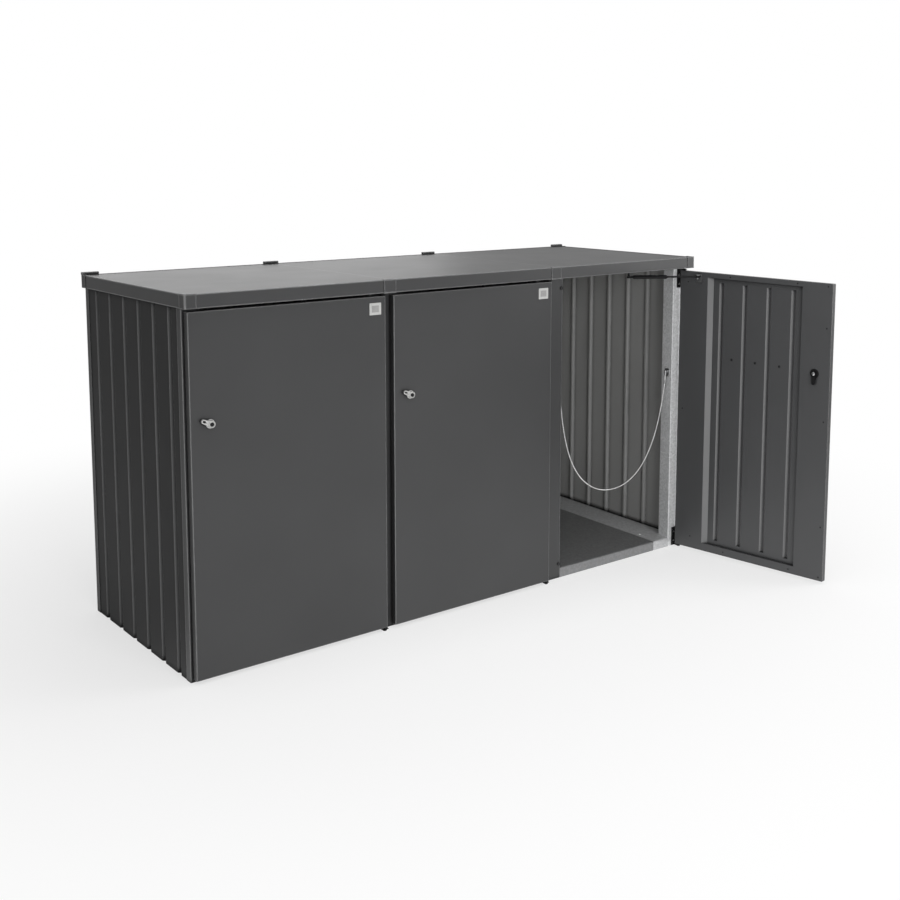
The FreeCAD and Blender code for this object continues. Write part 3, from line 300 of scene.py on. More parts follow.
def lit_edge_side(tree, normal):
    """1 on edges that face left or up, where the painted highlight is strongest, and 0.5 on the others."""
    facing = components(tree, normal)
    leftward = mapped(tree, facing["X"], 0.1, -0.35, low=0.5)
    upward = mapped(tree, facing["Z"], -0.1, 0.35, low=0.5)
    return arithmetic(tree, "MAXIMUM", leftward, upward)


def mixed(tree, factor, first, second):
    """Colour between two others."""
    mix = tree.nodes.new("ShaderNodeMix")
    mix.data_type = "RGBA"
    tree.links.new(factor, mix.inputs["Factor"])
    tree.links.new(first, mix.inputs["A"])
    tree.links.new(second, mix.inputs["B"])
    return mix.outputs["Result"]


def tinted(color, factor):
    return tuple(channel * factor for channel in color)


def openness(tree, distance, blocked, clear):
    """1 where the surface lies open and 0 deep in a groove or a corner, where painted shade goes."""
    node = tree.nodes.new("ShaderNodeAmbientOcclusion")
    node.samples = 6
    node.inputs["Distance"].default_value = distance
    return mapped(tree, node.outputs["AO"], blocked, clear)


def finish_paint(tree, shader, body_color, roughness, fold=0.0042, grooves=(0.38, 0.88), gloss=0.35):
    """Satin powder coat on a colour: painted highlights on folds, painted shade in grooves and fine orange
    peel.
    """
    folds = soft_edges(tree, fold)
    cloud = noise(tree, 2.2, 3.0)
    # Painted highlight colour for folds and lit slants
    pale = ramp(tree, cloud, tinted(FOLD_HIGHLIGHT, 0.9), tinted(FOLD_HIGHLIGHT, 1.1))
    # Painted shade colour for grooves and corners
    shade = ramp(tree, cloud, tinted(PAINT, 0.35), tinted(PAINT, 0.5))
    # Painted highlight mixed in along folds and lit slants
    highlighted = mixed(tree, fold_highlight_mask(tree, folds), body_color, pale)
    # Painted shade: the AO node finds grooves and corners and darkens them
    clear = openness(tree, 0.022, *grooves)
    tree.links.new(mixed(tree, clear, shade, highlighted), shader.inputs["Base Color"])
    tree.links.new(spread(tree, noise(tree, 6.0, 4.0), roughness - 0.012, roughness + 0.012),
                   shader.inputs["Roughness"])
    tree.links.new(bump(tree, noise(tree, 520.0, 2.0), 0.00006, 0.5, folds), shader.inputs["Normal"])
    # Less gloss deep in grooves, painted shade in the reflections too
    tree.links.new(spread(tree, clear, 0.05, gloss), shader.inputs["Specular IOR Level"])


def paint_material(name, color, roughness=0.42, fold=0.0042):
    """Powder coat of one colour, slightly cloudy."""
    material, tree, shader = new_material(name)
    body_color = ramp(tree, noise(tree, 2.2, 3.0), tinted(color, 0.93), tinted(color, 1.07))
    finish_paint(tree, shader, body_color, roughness, fold)
    return material


def wall_material(name, axis, inward, shade_tone=1.0, roughness=0.43, **finish):
    """Powder coat outside, scaled by shade_tone as painted shade for walls that stand in shadow, and a
    paler back coat on the faces turned into the store.
    """
    material, tree, shader = new_material(name)
    geometry = tree.nodes.new("ShaderNodeNewGeometry")
    facing = components(tree, geometry.outputs["True Normal"])
    inside = mapped(tree, facing[axis], 0.15 * inward, 0.25 * inward)
    cloud = noise(tree, 2.2, 3.0)
    outer = ramp(tree, cloud, tinted(PAINT, 0.93 * shade_tone), tinted(PAINT, 1.07 * shade_tone))
    inner = ramp(tree, cloud, tinted(BACK_COAT, 0.95), tinted(BACK_COAT, 1.05))
    body_color = mixed(tree, inside, outer, inner)
    finish_paint(tree, shader, body_color, roughness, 0.0026, **finish)
    return material


def zinc_material(name, color, roughness):
    """Galvanised sheet with a fine spangle."""
    material, tree, shader = new_material(name)
    coordinates = tree.nodes.new("ShaderNodeTexCoord")
    ripple = tree.nodes.new("ShaderNodeTexNoise")
    ripple.inputs["Scale"].default_value = 160.0
    tree.links.new(coordinates.outputs["Object"], ripple.inputs["Vector"])
    warped = tree.nodes.new("ShaderNodeVectorMath")
    warped.operation = "MULTIPLY_ADD"
    warped.inputs[1].default_value = (0.009, 0.009, 0.009)
    tree.links.new(ripple.outputs["Color"], warped.inputs[0])
    tree.links.new(coordinates.outputs["Object"], warped.inputs[2])
    cells = tree.nodes.new("ShaderNodeTexVoronoi")
    cells.feature = "SMOOTH_F1"
    cells.inputs["Scale"].default_value = 150.0
    cells.inputs["Smoothness"].default_value = 0.35
    tree.links.new(warped.outputs["Vector"], cells.inputs["Vector"])
    spangle = tree.nodes.new("ShaderNodeSeparateColor")
    tree.links.new(cells.outputs["Color"], spangle.inputs["Color"])
    tree.links.new(ramp(tree, spangle.outputs["Red"], tinted(color, 0.89), tinted(color, 1.11), 0.1, 0.9),
                   shader.inputs["Base Color"])
    tree.links.new(spread(tree, spangle.outputs["Green"], roughness - 0.04, roughness + 0.05),
                   shader.inputs["Roughness"])
    tree.links.new(bump(tree, noise(tree, 60.0, 3.0), 0.0002, 0.4, soft_edges(tree, 0.0016)),
                   shader.inputs["Normal"])
    shader.inputs["Metallic"].default_value = 0.4
    return material


def steel_material(name, color, roughness, depth=0.00003):
    """Plated steel with fine drawing lines."""
    material, tree, shader = new_material(name)
    lines = noise(tree, 900.0, 2.0)
    tree.links.new(ramp(tree, lines, tinted(color, 0.94), tinted(color, 1.05)), shader.inputs["Base Color"])
    tree.links.new(spread(tree, lines, roughness - 0.03, roughness + 0.06), shader.inputs["Roughness"])
    tree.links.new(bump(tree, lines, depth, 0.4, soft_edges(tree, 0.0006)), shader.inputs["Normal"])
    shader.inputs["Metallic"].default_value = 1.0
    return material


def plain_material(name, color, roughness, grain, depth, gloss=0.5):
    """Rubber, lacquer or plate with a fine grain."""
    material, tree, shader = new_material(name)
    spots = noise(tree, grain, 4.0)
    tree.links.new(ramp(tree, spots, tinted(color, 0.92), tinted(color, 1.08)), shader.inputs["Base Color"])
    tree.links.new(spread(tree, spots, roughness - 0.04, roughness + 0.04), shader.inputs["Roughness"])
    tree.links.new(bump(tree, spots, depth, 0.5, soft_edges(tree, 0.0008)), shader.inputs["Normal"])
    shader.inputs["Specular IOR Level"].default_value = gloss
    return material


def make_materials():
    return {
        "sheet_paint": paint_material("anthracite_powder_coat", PAINT),
        "galvanised_steel": zinc_material("galvanised_sheet", ZINC, 0.46),
        "bright_steel": steel_material("zinc_plated_steel", STEEL, 0.34),
        "lock_metal": steel_material("satin_plated_zinc", SILVER, 0.28, depth=0.00001),
        "label_plate": plain_material("bare_label_plate", LABEL, 0.45, 300.0, 0.00004),
        "label_panel": plain_material("label_panel", tinted(LABEL, 0.62), 0.5, 300.0, 0.00004),
        "strut_paint": plain_material("black_lacquer", BLACK, 0.5, 400.0, 0.00002, 0.18),
        "buffer_rubber": plain_material("black_rubber", RUBBER, 0.7, 700.0, 0.00006),
        "steel_wire": zinc_material("steel_wire", WIRE, 0.5),
    }


def make_sheet_materials():
    """Finishes of single sheets that differ from the rest of their slot, by node."""
    back = wall_material("rear_sheet", "Y", -1.0)
    both = paint_material("back_coat", BACK_COAT, 0.46)
    # Side walls in painted shade: a darker copy of the paint, darker grooves and less gloss
    side = {"shade_tone": 0.38, "roughness": 0.5, "grooves": (0.72, 0.97), "gloss": 0.15}
    sheets = {
        "left_side_wall": wall_material("left_sheet", "X", 1.0, **side),
        "right_side_wall": wall_material("right_sheet", "X", -1.0, **side),
        "divider_wall_1": both,
        "divider_wall_2": both,
    }
    # Wider rounded folds on the caps and covers, for a wider painted highlight
    caps = paint_material("cap_highlight_coat", PAINT, fold=0.007)
    sheets["roof_corner_caps"] = caps
    sheets["roof_joint_covers"] = caps
    # The right post's zinc is a lighter copy, painted light
    sheets["right_front_post"] = zinc_material("lit_post_zinc", tinted(ZINC, 1.4), 0.46)
    roof = wall_material("roof_sheet", "Z", -1.0)
    # The floor plates' zinc is a darker copy, painted shade of the bay floor
    shaded_tread = zinc_material("shaded_floor_zinc", tinted(ZINC, 0.38), 0.32)
    # Lighter liner: painted light on the open door's inner face
    liner = paint_material("lit_liner_coat", LIT_LINER_COAT, fold=0.0)
    for bay in BAYS:
        sheets["rear_wall_%d" % bay] = back
        sheets["roof_panel_%d" % bay] = roof
        sheets["door_%d_liner" % bay] = liner
        sheets["floor_plate_%d" % bay] = shaded_tread
    return sheets


def dress_nodes(materials, sheets):
    """Gives every carried-over node the material of its slot, or its own sheet's finish."""
    for entry in frame["record"]["subparts"]:
        node = bpy.data.objects[entry["node"]]
        material = sheets.get(entry["node"], materials[entry["material_slot"]])
        if not node.material_slots:
            node.data.materials.append(material)
        for slot in node.material_slots:
            slot.material = material


# Stage


def make_camera():
    data = bpy.data.cameras.new("photo_camera")
    data.lens = CAMERA_LENS
    data.sensor_width = CAMERA_SENSOR
    data.shift_x, data.shift_y = CAMERA_SHIFT
    data.clip_end = 60.0
    camera = bpy.data.objects.new("photo_camera", data)
    bpy.context.scene.collection.objects.link(camera)
    turn = Matrix.Rotation(CAMERA_YAW, 4, "Z")
    turn = turn @ Matrix.Rotation(math.pi / 2 + CAMERA_PITCH, 4, "X")
    turn = turn @ Matrix.Rotation(CAMERA_ROLL, 4, "Z")
    camera.matrix_world = Matrix.Translation(CAMERA_PLACE) @ turn
    bpy.context.scene.camera = camera


def area_light(name, place, target, size, power):
    data = bpy.data.lights.new(name, "AREA")
    data.shape = "RECTANGLE"
    data.size, data.size_y = size
    data.energy = power
    lamp = bpy.data.objects.new(name, data)
    bpy.context.scene.collection.objects.link(lamp)
    lamp.location = place
    lamp.rotation_euler = (Vector(target) - Vector(place)).to_track_quat("-Z", "Y").to_euler()
    return lamp


def make_world():
    """White to the camera, a little darker in reflections, and a soft grey fill otherwise."""
    world = bpy.data.worlds.new("studio")
    bpy.context.scene.world = world
    world.use_nodes = True
    tree = world.node_tree
    tree.nodes.clear()
    path = tree.nodes.new("ShaderNodeLightPath").outputs
    white = tree.nodes.new("ShaderNodeBackground")
    white.inputs["Color"].default_value = (1.0, 1.0, 1.0, 1.0)
    strength = mapped(tree, path["Is Camera Ray"], 0.0, 1.0, low=REFLECTED_WHITE)
    tree.links.new(strength, white.inputs["Strength"])
    fill = tree.nodes.new("ShaderNodeBackground")
    fill.inputs["Color"].default_value = (1.0, 1.0, 1.0, 1.0)
    fill.inputs["Strength"].default_value = FILL
    mix = tree.nodes.new("ShaderNodeMixShader")
    output = tree.nodes.new("ShaderNodeOutputWorld")
    seen = arithmetic(tree, "MAXIMUM", path["Is Camera Ray"], path["Is Glossy Ray"])
    tree.links.new(seen, mix.inputs["Fac"])
    tree.links.new(fill.outputs["Background"], mix.inputs[1])
    tree.links.new(white.outputs["Background"], mix.inputs[2])
    tree.links.new(mix.outputs["Shader"], output.inputs["Surface"])


def reflected_floor_glow(tree, coordinates, path):
    """How much reflections see a glowing floor in front of the doors, a painted reflection: most of it near
    the patch's middle.
    """
    distance = tree.nodes.new("ShaderNodeVectorMath")
    distance.operation = "DISTANCE"
    distance.inputs[1].default_value = PATCH_MIDDLE
    tree.links.new(coordinates.outputs["Object"], distance.inputs[0])
    near = mapped(tree, distance.outputs["Value"], PATCH_END, PATCH_FULL, high=PATCH_SHARE, smooth=True)
    return arithmetic(tree, "MULTIPLY", path["Is Glossy Ray"], near)


def make_floor():
    """Large pale floor that the camera sees turn to plain white away from the store."""
    bpy.ops.mesh.primitive_plane_add(size=60.0, location=(0.0, 0.0, 0.0))
    floor = bpy.context.object
    floor.name = "studio_floor"
    material, tree, shader = new_material("pale_floor")
    shader.inputs["Base Color"].default_value = (FLOOR_WHITE, FLOOR_WHITE, FLOOR_WHITE, 1.0)
    shader.inputs["Roughness"].default_value = 0.9
    shader.inputs["Specular IOR Level"].default_value = 0.1
    coordinates = tree.nodes.new("ShaderNodeTexCoord")
    distance = tree.nodes.new("ShaderNodeVectorMath")
    distance.operation = "LENGTH"
    tree.links.new(coordinates.outputs["Object"], distance.inputs[0])
    fade = mapped(tree, distance.outputs["Value"], FADE_START, FADE_END, low=FADE_LEAST, smooth=True)
    path = tree.nodes.new("ShaderNodeLightPath").outputs
    shown = arithmetic(tree, "MULTIPLY", path["Is Camera Ray"], fade)
    # Reflections near the doors see a glow: painted reflection
    bright = arithmetic(tree, "MAXIMUM", shown, reflected_floor_glow(tree, coordinates, path))
    white = tree.nodes.new("ShaderNodeEmission")
    strength = mapped(tree, path["Is Camera Ray"], 0.0, 1.0, low=PATCH_STRENGTH)
    tree.links.new(strength, white.inputs["Strength"])
    mix = tree.nodes.new("ShaderNodeMixShader")
    output = tree.nodes["Material Output"]
    tree.links.new(bright, mix.inputs["Fac"])
    tree.links.new(shader.outputs["BSDF"], mix.inputs[1])
    tree.links.new(white.outputs["Emission"], mix.inputs[2])
    tree.links.new(mix.outputs["Shader"], output.inputs["Surface"])
    floor.data.materials.append(material)


def make_lights():
    """Four soft lights, of which the key leaves no reflection of its own."""
    lamps = {light[0]: area_light(*light) for light in LIGHTS}
    lamps["key"].visible_glossy = False


# Mesh building


def link(name, data):
    piece = bpy.data.objects.new(name, data)
    bpy.context.scene.collection.objects.link(piece)
    return piece


def circle(radius, segments=32):
    angles = [2 * math.pi * step / segments for step in range(segments)]
    return [(radius * math.cos(angle), radius * math.sin(angle)) for angle in angles]


def rounded_rectangle(width, height, radius, steps=5):
    """Corners of a rectangle round the origin, each turned in short steps."""
    points = []
    for quarter, (side_x, side_y) in enumerate(((1, 1), (-1, 1), (-1, -1), (1, -1))):
        for step in range(steps + 1):
            angle = math.pi / 2 * (quarter + step / steps)
            points.append((side_x * (width / 2 - radius) + radius * math.cos(angle),
                           side_y * (height / 2 - radius) + radius * math.sin(angle)))
    return points


def inset(outline, distance):
    """The same outline moved inwards."""
    moved = []
    count = len(outline)
    for index, (x, y) in enumerate(outline):
        before = Vector(outline[index - 1])
        after = Vector(outline[(index + 1) % count])
        here = Vector((x, y))
        first = (here - before).normalized()
        second = (after - here).normalized()
        inward = Vector((-first.y - second.y, first.x + second.x))
        moved.append(tuple(here + inward * distance / (1 + first.dot(second))))
    return moved


def stack(bm, outline, levels, place):
    """Closed shape through copies of an outline, each moved inwards and up."""
    rings = []
    for distance, height in levels:
        ring = [bm.verts.new(place @ Vector((x, y, height))) for x, y in inset(outline, distance)]
        rings.append(ring)
    count = len(outline)
    for low, high in zip(rings, rings[1:]):
        for index in range(count):
            following = (index + 1) % count
            bm.faces.new((low[index], low[following], high[following], high[index]))
    bm.faces.new(rings[0][::-1])
    bm.faces.new(rings[-1])


def reach_to(outline, centre, angle):
    """Distance from a centre to an outline along a direction."""
    along = Vector((math.cos(angle), math.sin(angle)))
    across = Vector((-along.y, along.x))
    reaches = []
    for index, corner in enumerate(outline):
        start = Vector(outline[index - 1]) - centre
        end = Vector(corner) - centre
        before, after = start.dot(across), end.dot(across)
        if before * after <= 0.0 and before != after:
            reaches.append(start.lerp(end, before / (before - after)).dot(along))
    return max(reaches)


def pierced(bm, outer, hole, centre, levels, place, segments=64):
    """Plate with a hole, its upper edges eased. Levels give inset and height, from the bottom up."""
    middle = Vector(centre)
    loops = []
    for outline in (outer, hole):
        angles = [2 * math.pi * step / segments for step in range(segments)]
        loops.append([
            (middle.x + reach_to(outline, middle, angle) * math.cos(angle),
             middle.y + reach_to(outline, middle, angle) * math.sin(angle))
            for angle in angles
        ])
    rings = []
    for loop, side, steps in ((loops[0], 1, levels), (loops[1], -1, levels[::-1])):
        for distance, height in steps:
            edge = inset(loop, side * distance)
            rings.append([bm.verts.new(place @ Vector((x, y, height))) for x, y in edge])
    for near, far in zip(rings, rings[1:] + rings[:1]):
        for index in range(segments):
            following = (index + 1) % segments
            bm.faces.new((near[index], near[following], far[following], far[index]))


def make_piece(bm, name, body, slot, crease=0.6):
    """Object of a mesh, smooth but for its creases, which rides on a body."""
    bmesh.ops.recalc_face_normals(bm, faces=bm.faces)
    for face in bm.faces:
        face.smooth = True
    for edge in bm.edges:
        edge.smooth = len(edge.link_faces) == 2 and edge.calc_face_angle(0.0) < crease
    mesh = bpy.data.meshes.new(name)
    bm.to_mesh(mesh)
    bm.free()
    mesh.materials.append(materials[slot])
    piece = link(name, mesh)
    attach(piece, body)
    return piece


# Places


def door_left(bay):
    return DOOR_LEFT + (bay - 1) * DOOR_PITCH


def door_right(bay):
    return door_left(bay) + DOOR_WIDTH


def pivot(bay):
    return Vector((door_right(bay) - PIVOT_FROM_EDGE, PIVOT_Y, 0.0))


def opened(bay):
    """Turns what is drawn on the closed door to where the door rests."""
    axis = Matrix.Translation(pivot(bay))
    return axis @ Matrix.Rotation(math.radians(REST_ANGLE[bay]), 4, "Z") @ axis.inverted()


def facing_front(x, y, z):
    """Place whose own Z looks to the front and own Y up."""
    return Matrix.Translation((x, y, z)) @ Matrix.Rotation(math.pi / 2, 4, "X")


def facing_back(x, y, z):
    """Place whose own Z looks to the back."""
    return Matrix.Translation((x, y, z)) @ Matrix.Rotation(-math.pi / 2, 4, "X")


def looking(start, direction):
    """Place at a point whose own Z looks along a direction."""
    return Matrix.Translation(start) @ direction.to_track_quat("Z", "Y").to_matrix().to_4x4()


def strut_end(bay, offset):
    return pivot(bay) + Vector((*offset, STRUT_HEIGHT))


# Pieces


def wire_line(curve):
    """Points along the wire's spline, as Blender gives them for the curve without its bevel."""
    bare = curve.copy()
    bare.bevel_depth = 0.0
    bare.resolution_u = 24
    probe = bpy.data.objects.new("wire_probe", bare)
    mesh = bpy.data.meshes.new_from_object(probe)
    points = [vertex.co.copy() for vertex in mesh.vertices]
    bpy.data.objects.remove(probe)
    bpy.data.curves.remove(bare)
    bpy.data.meshes.remove(mesh)
    return points


def make_strands(line):
    """Six strands laid round the wire's core."""
    bm = bmesh.new()
    across = (line[1] - line[0]).orthogonal().normalized()
    travelled = 0.0
    before = {}
    for index, point in enumerate(line):
        ahead = (line[min(index + 1, len(line) - 1)] - line[max(index - 1, 0)]).normalized()
        across = (across - across.dot(ahead) * ahead).normalized()
        travelled += (point - line[max(index - 1, 0)]).length
        for strand in range(STRANDS):
            turn = 2 * math.pi * (strand / STRANDS + travelled / STRAND_LAY)
            outward = across * math.cos(turn) + ahead.cross(across) * math.sin(turn)
            around = ahead.cross(outward)
            middle = point + outward * WIRE_DIAMETER * STRAND_FROM_MIDDLE
            ring = []
            for x, y in circle(STRAND_RADIUS, STRAND_SIDES):
                ring.append(bm.verts.new(middle + WIRE_DIAMETER * (outward * x + around * y)))
            for corner in range(STRAND_SIDES):
                if index:
                    last = before[strand]
                    bm.faces.new((last[corner - 1], last[corner], ring[corner], ring[corner - 1]))
            before[strand] = ring
    return make_piece(bm, "wire_strands", "frame", "steel_wire", 1.2)


def point_at(path, distance):
    """Point near a path's start that is closest to a distance from it."""
    return min(path[:60], key=lambda point: abs((point - path[0]).length - distance))


def make_ferrules(line):
    """Crimped sleeves below the two anchors."""
    bm = bmesh.new()
    crimp = [(0.0006, 0.0), (0.0, 0.0006), (0.0, 0.003), (0.0005, 0.004), (0.0005, 0.006), (0.0, 0.007)]
    for path in (line, line[::-1]):
        start = point_at(path, 0.024)
        end = point_at(path, 0.040)
        length = (end - start).length
        levels = crimp + [(distance, length - height) for distance, height in crimp[::-1]]
        stack(bm, circle(0.0034, 28), levels, looking(start, end - start))
    return make_piece(bm, "wire_ferrules", "frame", "bright_steel")


def make_wire():
    """Hanging wire across the open bay."""
    curve = bpy.data.curves.new("tipping_wire_line", "CURVE")
    curve.dimensions = "3D"
    curve.resolution_u = 12
    curve.bevel_depth = WIRE_DIAMETER * CORE_RADIUS
    curve.bevel_resolution = 4
    spline = curve.splines.new("NURBS")
    spline.points.add(len(WIRE_POINTS) - 1)
    for point, offset in zip(spline.points, WIRE_POINTS):
        place = Vector(WIRE_MIDDLE) + Vector(offset)
        point.co = (*place, 1.0)
    spline.order_u = 3
    spline.use_endpoint_u = True
    wire = link("wire_line", curve)
    curve.materials.append(materials["steel_wire"])
    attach(wire, "frame")
    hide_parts("tipping_wire")
    line = wire_line(curve)
    pieces = [make_strands(line), make_ferrules(line)]


def make_label_plates():
    """Bare plates: a pale rimmed plate under a greyer panel."""
    rim = [(0.0, 0.0), (0.0, 0.0007), (0.0003, 0.001), (0.0012, 0.001), (0.0015, 0.0007)]
    panel = [(0.0, 0.0006), (0.0, 0.0009), (0.0002, 0.001)]
    for bay in BAYS:
        x = door_right(bay) - LABEL_FROM_EDGE
        place = opened(bay) @ facing_front(x, DOOR_FACE, DOOR_TOP - LABEL_FROM_TOP)
        bm = bmesh.new()
        stack(bm, rounded_rectangle(0.047, 0.042, 0.002), rim, place)
        piece = make_piece(bm, "label_plate_%d" % bay, "door_%d" % bay, "label_plate")
        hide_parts("door_%d_label_plate" % bay)
        bm = bmesh.new()
        stack(bm, rounded_rectangle(0.029, 0.024, 0.001), panel, place)
        middle = make_piece(bm, "label_panel_%d" % bay, "door_%d" % bay, "label_plate")
        middle.data.materials[0] = materials["label_panel"]


def make_buffers():
    """Rubber buttons on the posts, with a dimple."""
    bm = bmesh.new()
    levels = [(0.0, 0.0), (0.0, 0.003), (0.0006, 0.0039), (0.0018, 0.0045), (0.004, 0.0045), (0.005, 0.004)]
    for bay in BAYS:
        for height in BUFFER_HEIGHTS:
            place = facing_front(door_left(bay) + BUFFER_FROM_EDGE, FRAME_FRONT, height)
            stack(bm, circle(0.007), levels, place)
    piece = make_piece(bm, "rubber_buttons", "frame", "buffer_rubber")
    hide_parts("door_buffers")


def teardrop(reach, root, end):
    """Outline round a large circle at the origin and a smaller one to its left."""
    lean = math.asin((root - end) / reach)
    points = []
    for middle, radius, start, stop in ((0.0, root, -math.pi / 2 - lean, math.pi / 2 + lean),
                                        (-reach, end, math.pi / 2 + lean, 3 * math.pi / 2 - lean)):
        for step in range(17):
            angle = start + (stop - start) * step / 16
            points.append((middle + radius * math.cos(angle), radius * math.sin(angle)))
    return points


def make_rosette(bay, front, back):
    """Ring on the door's face and dark ring nut inside."""
    door = "door_%d" % bay
    bm = bmesh.new()
    levels = [(0.0, 0.0), (0.0, 0.0014), (0.0005, 0.0023), (0.0014, 0.0029), (0.0022, 0.003),
              (0.0045, 0.003)]
    stack(bm, circle(0.015, 48), levels, front)
    piece = make_piece(bm, "lock_rosette_%d" % bay, door, "lock_metal")
    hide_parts("door_%d_lock_body" % bay)
    bm = bmesh.new()
    levels = [(0.0, 0.0), (0.0, 0.0012), (0.0004, 0.0018), (0.0012, 0.002), (0.008, 0.002),
              (0.0084, 0.0014), (0.010, 0.0014)]
    stack(bm, circle(0.019, 48), levels, back)
    make_piece(bm, "lock_nut_%d" % bay, door, "strut_paint")


def make_knob(bay, front):
    """Knob with a recessed key plug, and a wing with a long eye."""
    lock = "lock_%d" % bay
    bm = bmesh.new()
    levels = [(0.0006, 0.0033), (0.0, 0.0039), (0.0, 0.0132), (0.0005, 0.0146), (0.0014, 0.0153),
              (0.0036, 0.0153), (0.0040, 0.0149), (0.0042, 0.0122), (0.0060, 0.0122)]
    stack(bm, circle(0.012, 48), levels, front)
    tilt = front @ Matrix.Rotation(math.radians(-WING_TILT), 4, "Z")
    eye = [(x - EYE_REACH, y) for x, y in rounded_rectangle(0.0110, 0.0062, 0.0030, 8)]
    rim = [(0.0004, 0.0053), (0.0, 0.0057), (0.0, 0.0124), (0.0004, 0.0130), (0.0010, 0.0133)]
    pierced(bm, teardrop(WING_REACH, 0.0100, 0.007), eye, (-EYE_REACH, 0.0), rim, tilt)
    knob = make_piece(bm, "lock_knob_%d" % bay, lock, "lock_metal")
    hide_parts("door_%d_lock_knob" % bay)
    bm = bmesh.new()
    levels = [(0.0, 0.0122), (0.0, 0.0138), (0.0005, 0.0143), (0.0020, 0.0144)]
    stack(bm, circle(0.0068, 40), levels, front)
    make_piece(bm, "key_plug_%d" % bay, lock, "strut_paint")
    bm = bmesh.new()
    # Thin dark sheet on the plug: painted shade where the keyway would be
    stack(bm, rounded_rectangle(0.0016, 0.0080, 0.0007), [(0.0, 0.0143), (0.0, 0.01452)], front)
    make_piece(bm, "keyway_shade_%d" % bay, lock, "buffer_rubber")


def make_cam(bay, back):
    """Dark cam on the lock's spindle, held by a washer and a hexagon head."""
    lock = "lock_%d" % bay
    gap = CAM_FRONT - DOOR_BACK
    top = gap + CAM_THICKNESS
    bm = bmesh.new()
    stack(bm, circle(0.006, 32), [(0.0, 0.0014), (0.0, gap)], back)
    turned = back @ Matrix.Rotation(-math.pi / 2, 4, "Z")
    stack(bm, teardrop(0.037, 0.009, 0.008), [(0.0, gap), (0.0, top - 0.0004), (0.0004, top)], turned)
    make_piece(bm, "lock_cam_%d" % bay, lock, "strut_paint")
    bm = bmesh.new()
    stack(bm, circle(0.0068, 32), [(0.0, top), (0.0, top + 0.0004), (0.0003, top + 0.0006)], back)
    stack(bm, circle(0.0052, 6), [(0.0, top + 0.0004), (0.0, top + 0.0012), (0.0004, top + 0.0014)], back)
    make_piece(bm, "cam_bolt_%d" % bay, lock, "bright_steel")


def make_locks():
    for bay in BAYS:
        x = door_left(bay) + LOCK_FROM_EDGE
        front = opened(bay) @ facing_front(x, DOOR_FACE, LOCK_HEIGHT)
        back = opened(bay) @ facing_back(x, DOOR_BACK, LOCK_HEIGHT)
        make_rosette(bay, front, back)
        make_knob(bay, front)
        make_cam(bay, back)


def make_struts():
    """Collars, ball sockets and stud nuts of the gas struts."""
    socket = [(0.0035, -0.0048), (0.0012, -0.0042), (0.0, -0.0022), (0.0, 0.0022), (0.0012, 0.0042),
              (0.0035, 0.0048)]
    nut = [(0.0004, -0.0092), (0.0, -0.0088), (0.0, -0.0056), (0.0004, -0.0052)]
    for bay in BAYS:
        anchor = strut_end(bay, STRUT_ANCHOR)
        stud = opened(bay) @ strut_end(bay, STRUT_STUD)
        bm = bmesh.new()
        for start, end in ((STRUT_BODY_LENGTH - 0.013, STRUT_BODY_LENGTH - 0.005), (0.0215, 0.0275)):
            collar = [(0.0008, start), (0.0, start + 0.0008), (0.0, end - 0.0008), (0.0008, end)]
            stack(bm, circle(0.0085, 32), collar, looking(anchor, stud - anchor))
        make_piece(bm, "strut_collars_%d" % bay, "strut_%d_cylinder" % bay, "strut_paint")
        bm = bmesh.new()
        stack(bm, circle(0.0092, 32), socket, Matrix.Translation(stud))
        neck = [(0.0, 0.006), (0.0, 0.017), (0.001, 0.018)]
        stack(bm, circle(0.0052, 6), neck, looking(stud, anchor - stud))
        make_piece(bm, "strut_socket_%d" % bay, "strut_%d_rod" % bay, "strut_paint")
        bm = bmesh.new()
        stack(bm, circle(0.0055, 6), nut, Matrix.Translation(stud))
        make_piece(bm, "stud_nut_%d" % bay, "door_%d" % bay, "bright_steel")


def make_rivets():
    """Rivets of the doors' inner sheets."""
    dome = [(0.0, 0.0), (0.0001, 0.0004), (0.0009, 0.0010), (0.0019, 0.0013)]
    for bay in BAYS:
        bm = bmesh.new()
        for distance, height in RIVET_SPOTS:
            place = opened(bay) @ facing_back(door_right(bay) - distance, DOOR_BACK, height)
            stack(bm, circle(0.003, 20), dome, place)
        make_piece(bm, "liner_rivets_%d" % bay, "door_%d" % bay, "strut_paint")


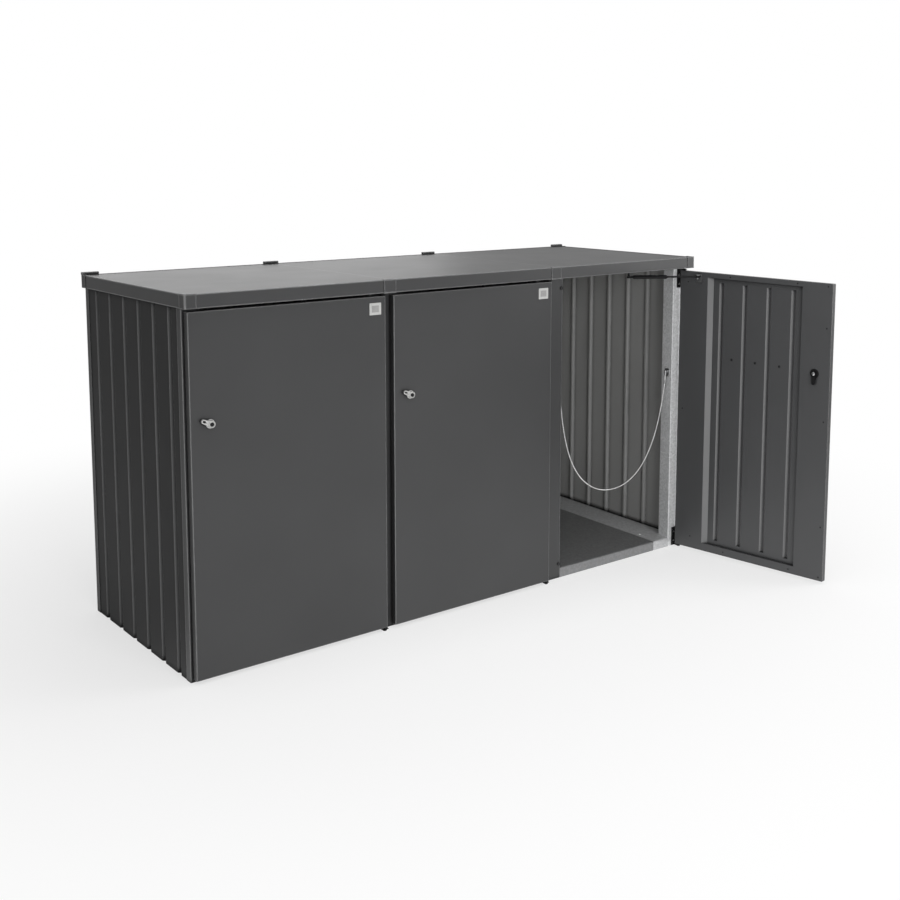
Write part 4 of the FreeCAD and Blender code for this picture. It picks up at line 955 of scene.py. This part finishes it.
def make_grommets():
    """Black grommets in the three holes of the door's inner sheet."""
    levels = [(0.0, -0.0002), (0.0, 0.0006), (0.0005, 0.0011)]
    for bay in BAYS:
        bm = bmesh.new()
        for distance in HOLES_FROM_HINGE:
            x = door_right(bay) - distance
            place = opened(bay) @ facing_back(x, DOOR_BACK - RECESS_DEPTH, HOLE_HEIGHT)
            pierced(bm, circle(0.0056, 32), circle(0.0029, 32), (0.0, 0.0), levels, place, 32)
        make_piece(bm, "liner_grommets_%d" % bay, "door_%d" % bay, "buffer_rubber")


def make_bracket_screws():
    """Low-headed screws of the hinge brackets."""
    head = [(0.0, 0.0), (0.0001, 0.0005), (0.0006, 0.0008), (0.002, 0.0008)]
    bm = bmesh.new()
    for bay in BAYS:
        for height in BRACKET_SCREW_HEIGHTS:
            x = door_right(bay) - BRACKET_SCREW_FROM_EDGE
            stack(bm, circle(0.0045, 24), head, facing_front(x, FRAME_FRONT - PLATE_THICKNESS, height))
    make_piece(bm, "bracket_screws", "frame", "bright_steel")


def make_rear_screws():
    """Pan-head screws down the rear corner posts and joint strips."""
    head = [(0.0, 0.0), (0.0, 0.0008), (0.0007, 0.0018), (0.0018, 0.0024), (0.0026, 0.0024),
            (0.0028, 0.0012)]
    columns = [-WALL_OUT + REAR_SCREW_FROM_END, WALL_OUT - REAR_SCREW_FROM_END]
    for line in (1, 2):
        middle = BAY_LINE + line * DOOR_PITCH
        columns += [middle - REAR_SCREW_FROM_JOINT, middle + REAR_SCREW_FROM_JOINT]
    bm = bmesh.new()
    for x in columns:
        for step in range(REAR_SCREWS):
            place = facing_back(x, REAR_OUT, REAR_SCREW_LOWEST + step * REAR_SCREW_PITCH)
            stack(bm, circle(0.0048, 24), head, place)
    make_piece(bm, "rear_screws", "frame", "sheet_paint")


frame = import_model()
bpy.context.scene.view_settings.view_transform = "Standard"
make_camera()
materials = make_materials()
make_wire()
dress_nodes(materials, make_sheet_materials())
make_label_plates()
make_buffers()
make_locks()
make_struts()
make_rivets()
make_grommets()
make_bracket_screws()
make_rear_screws()
make_world()
make_floor()
make_lights()
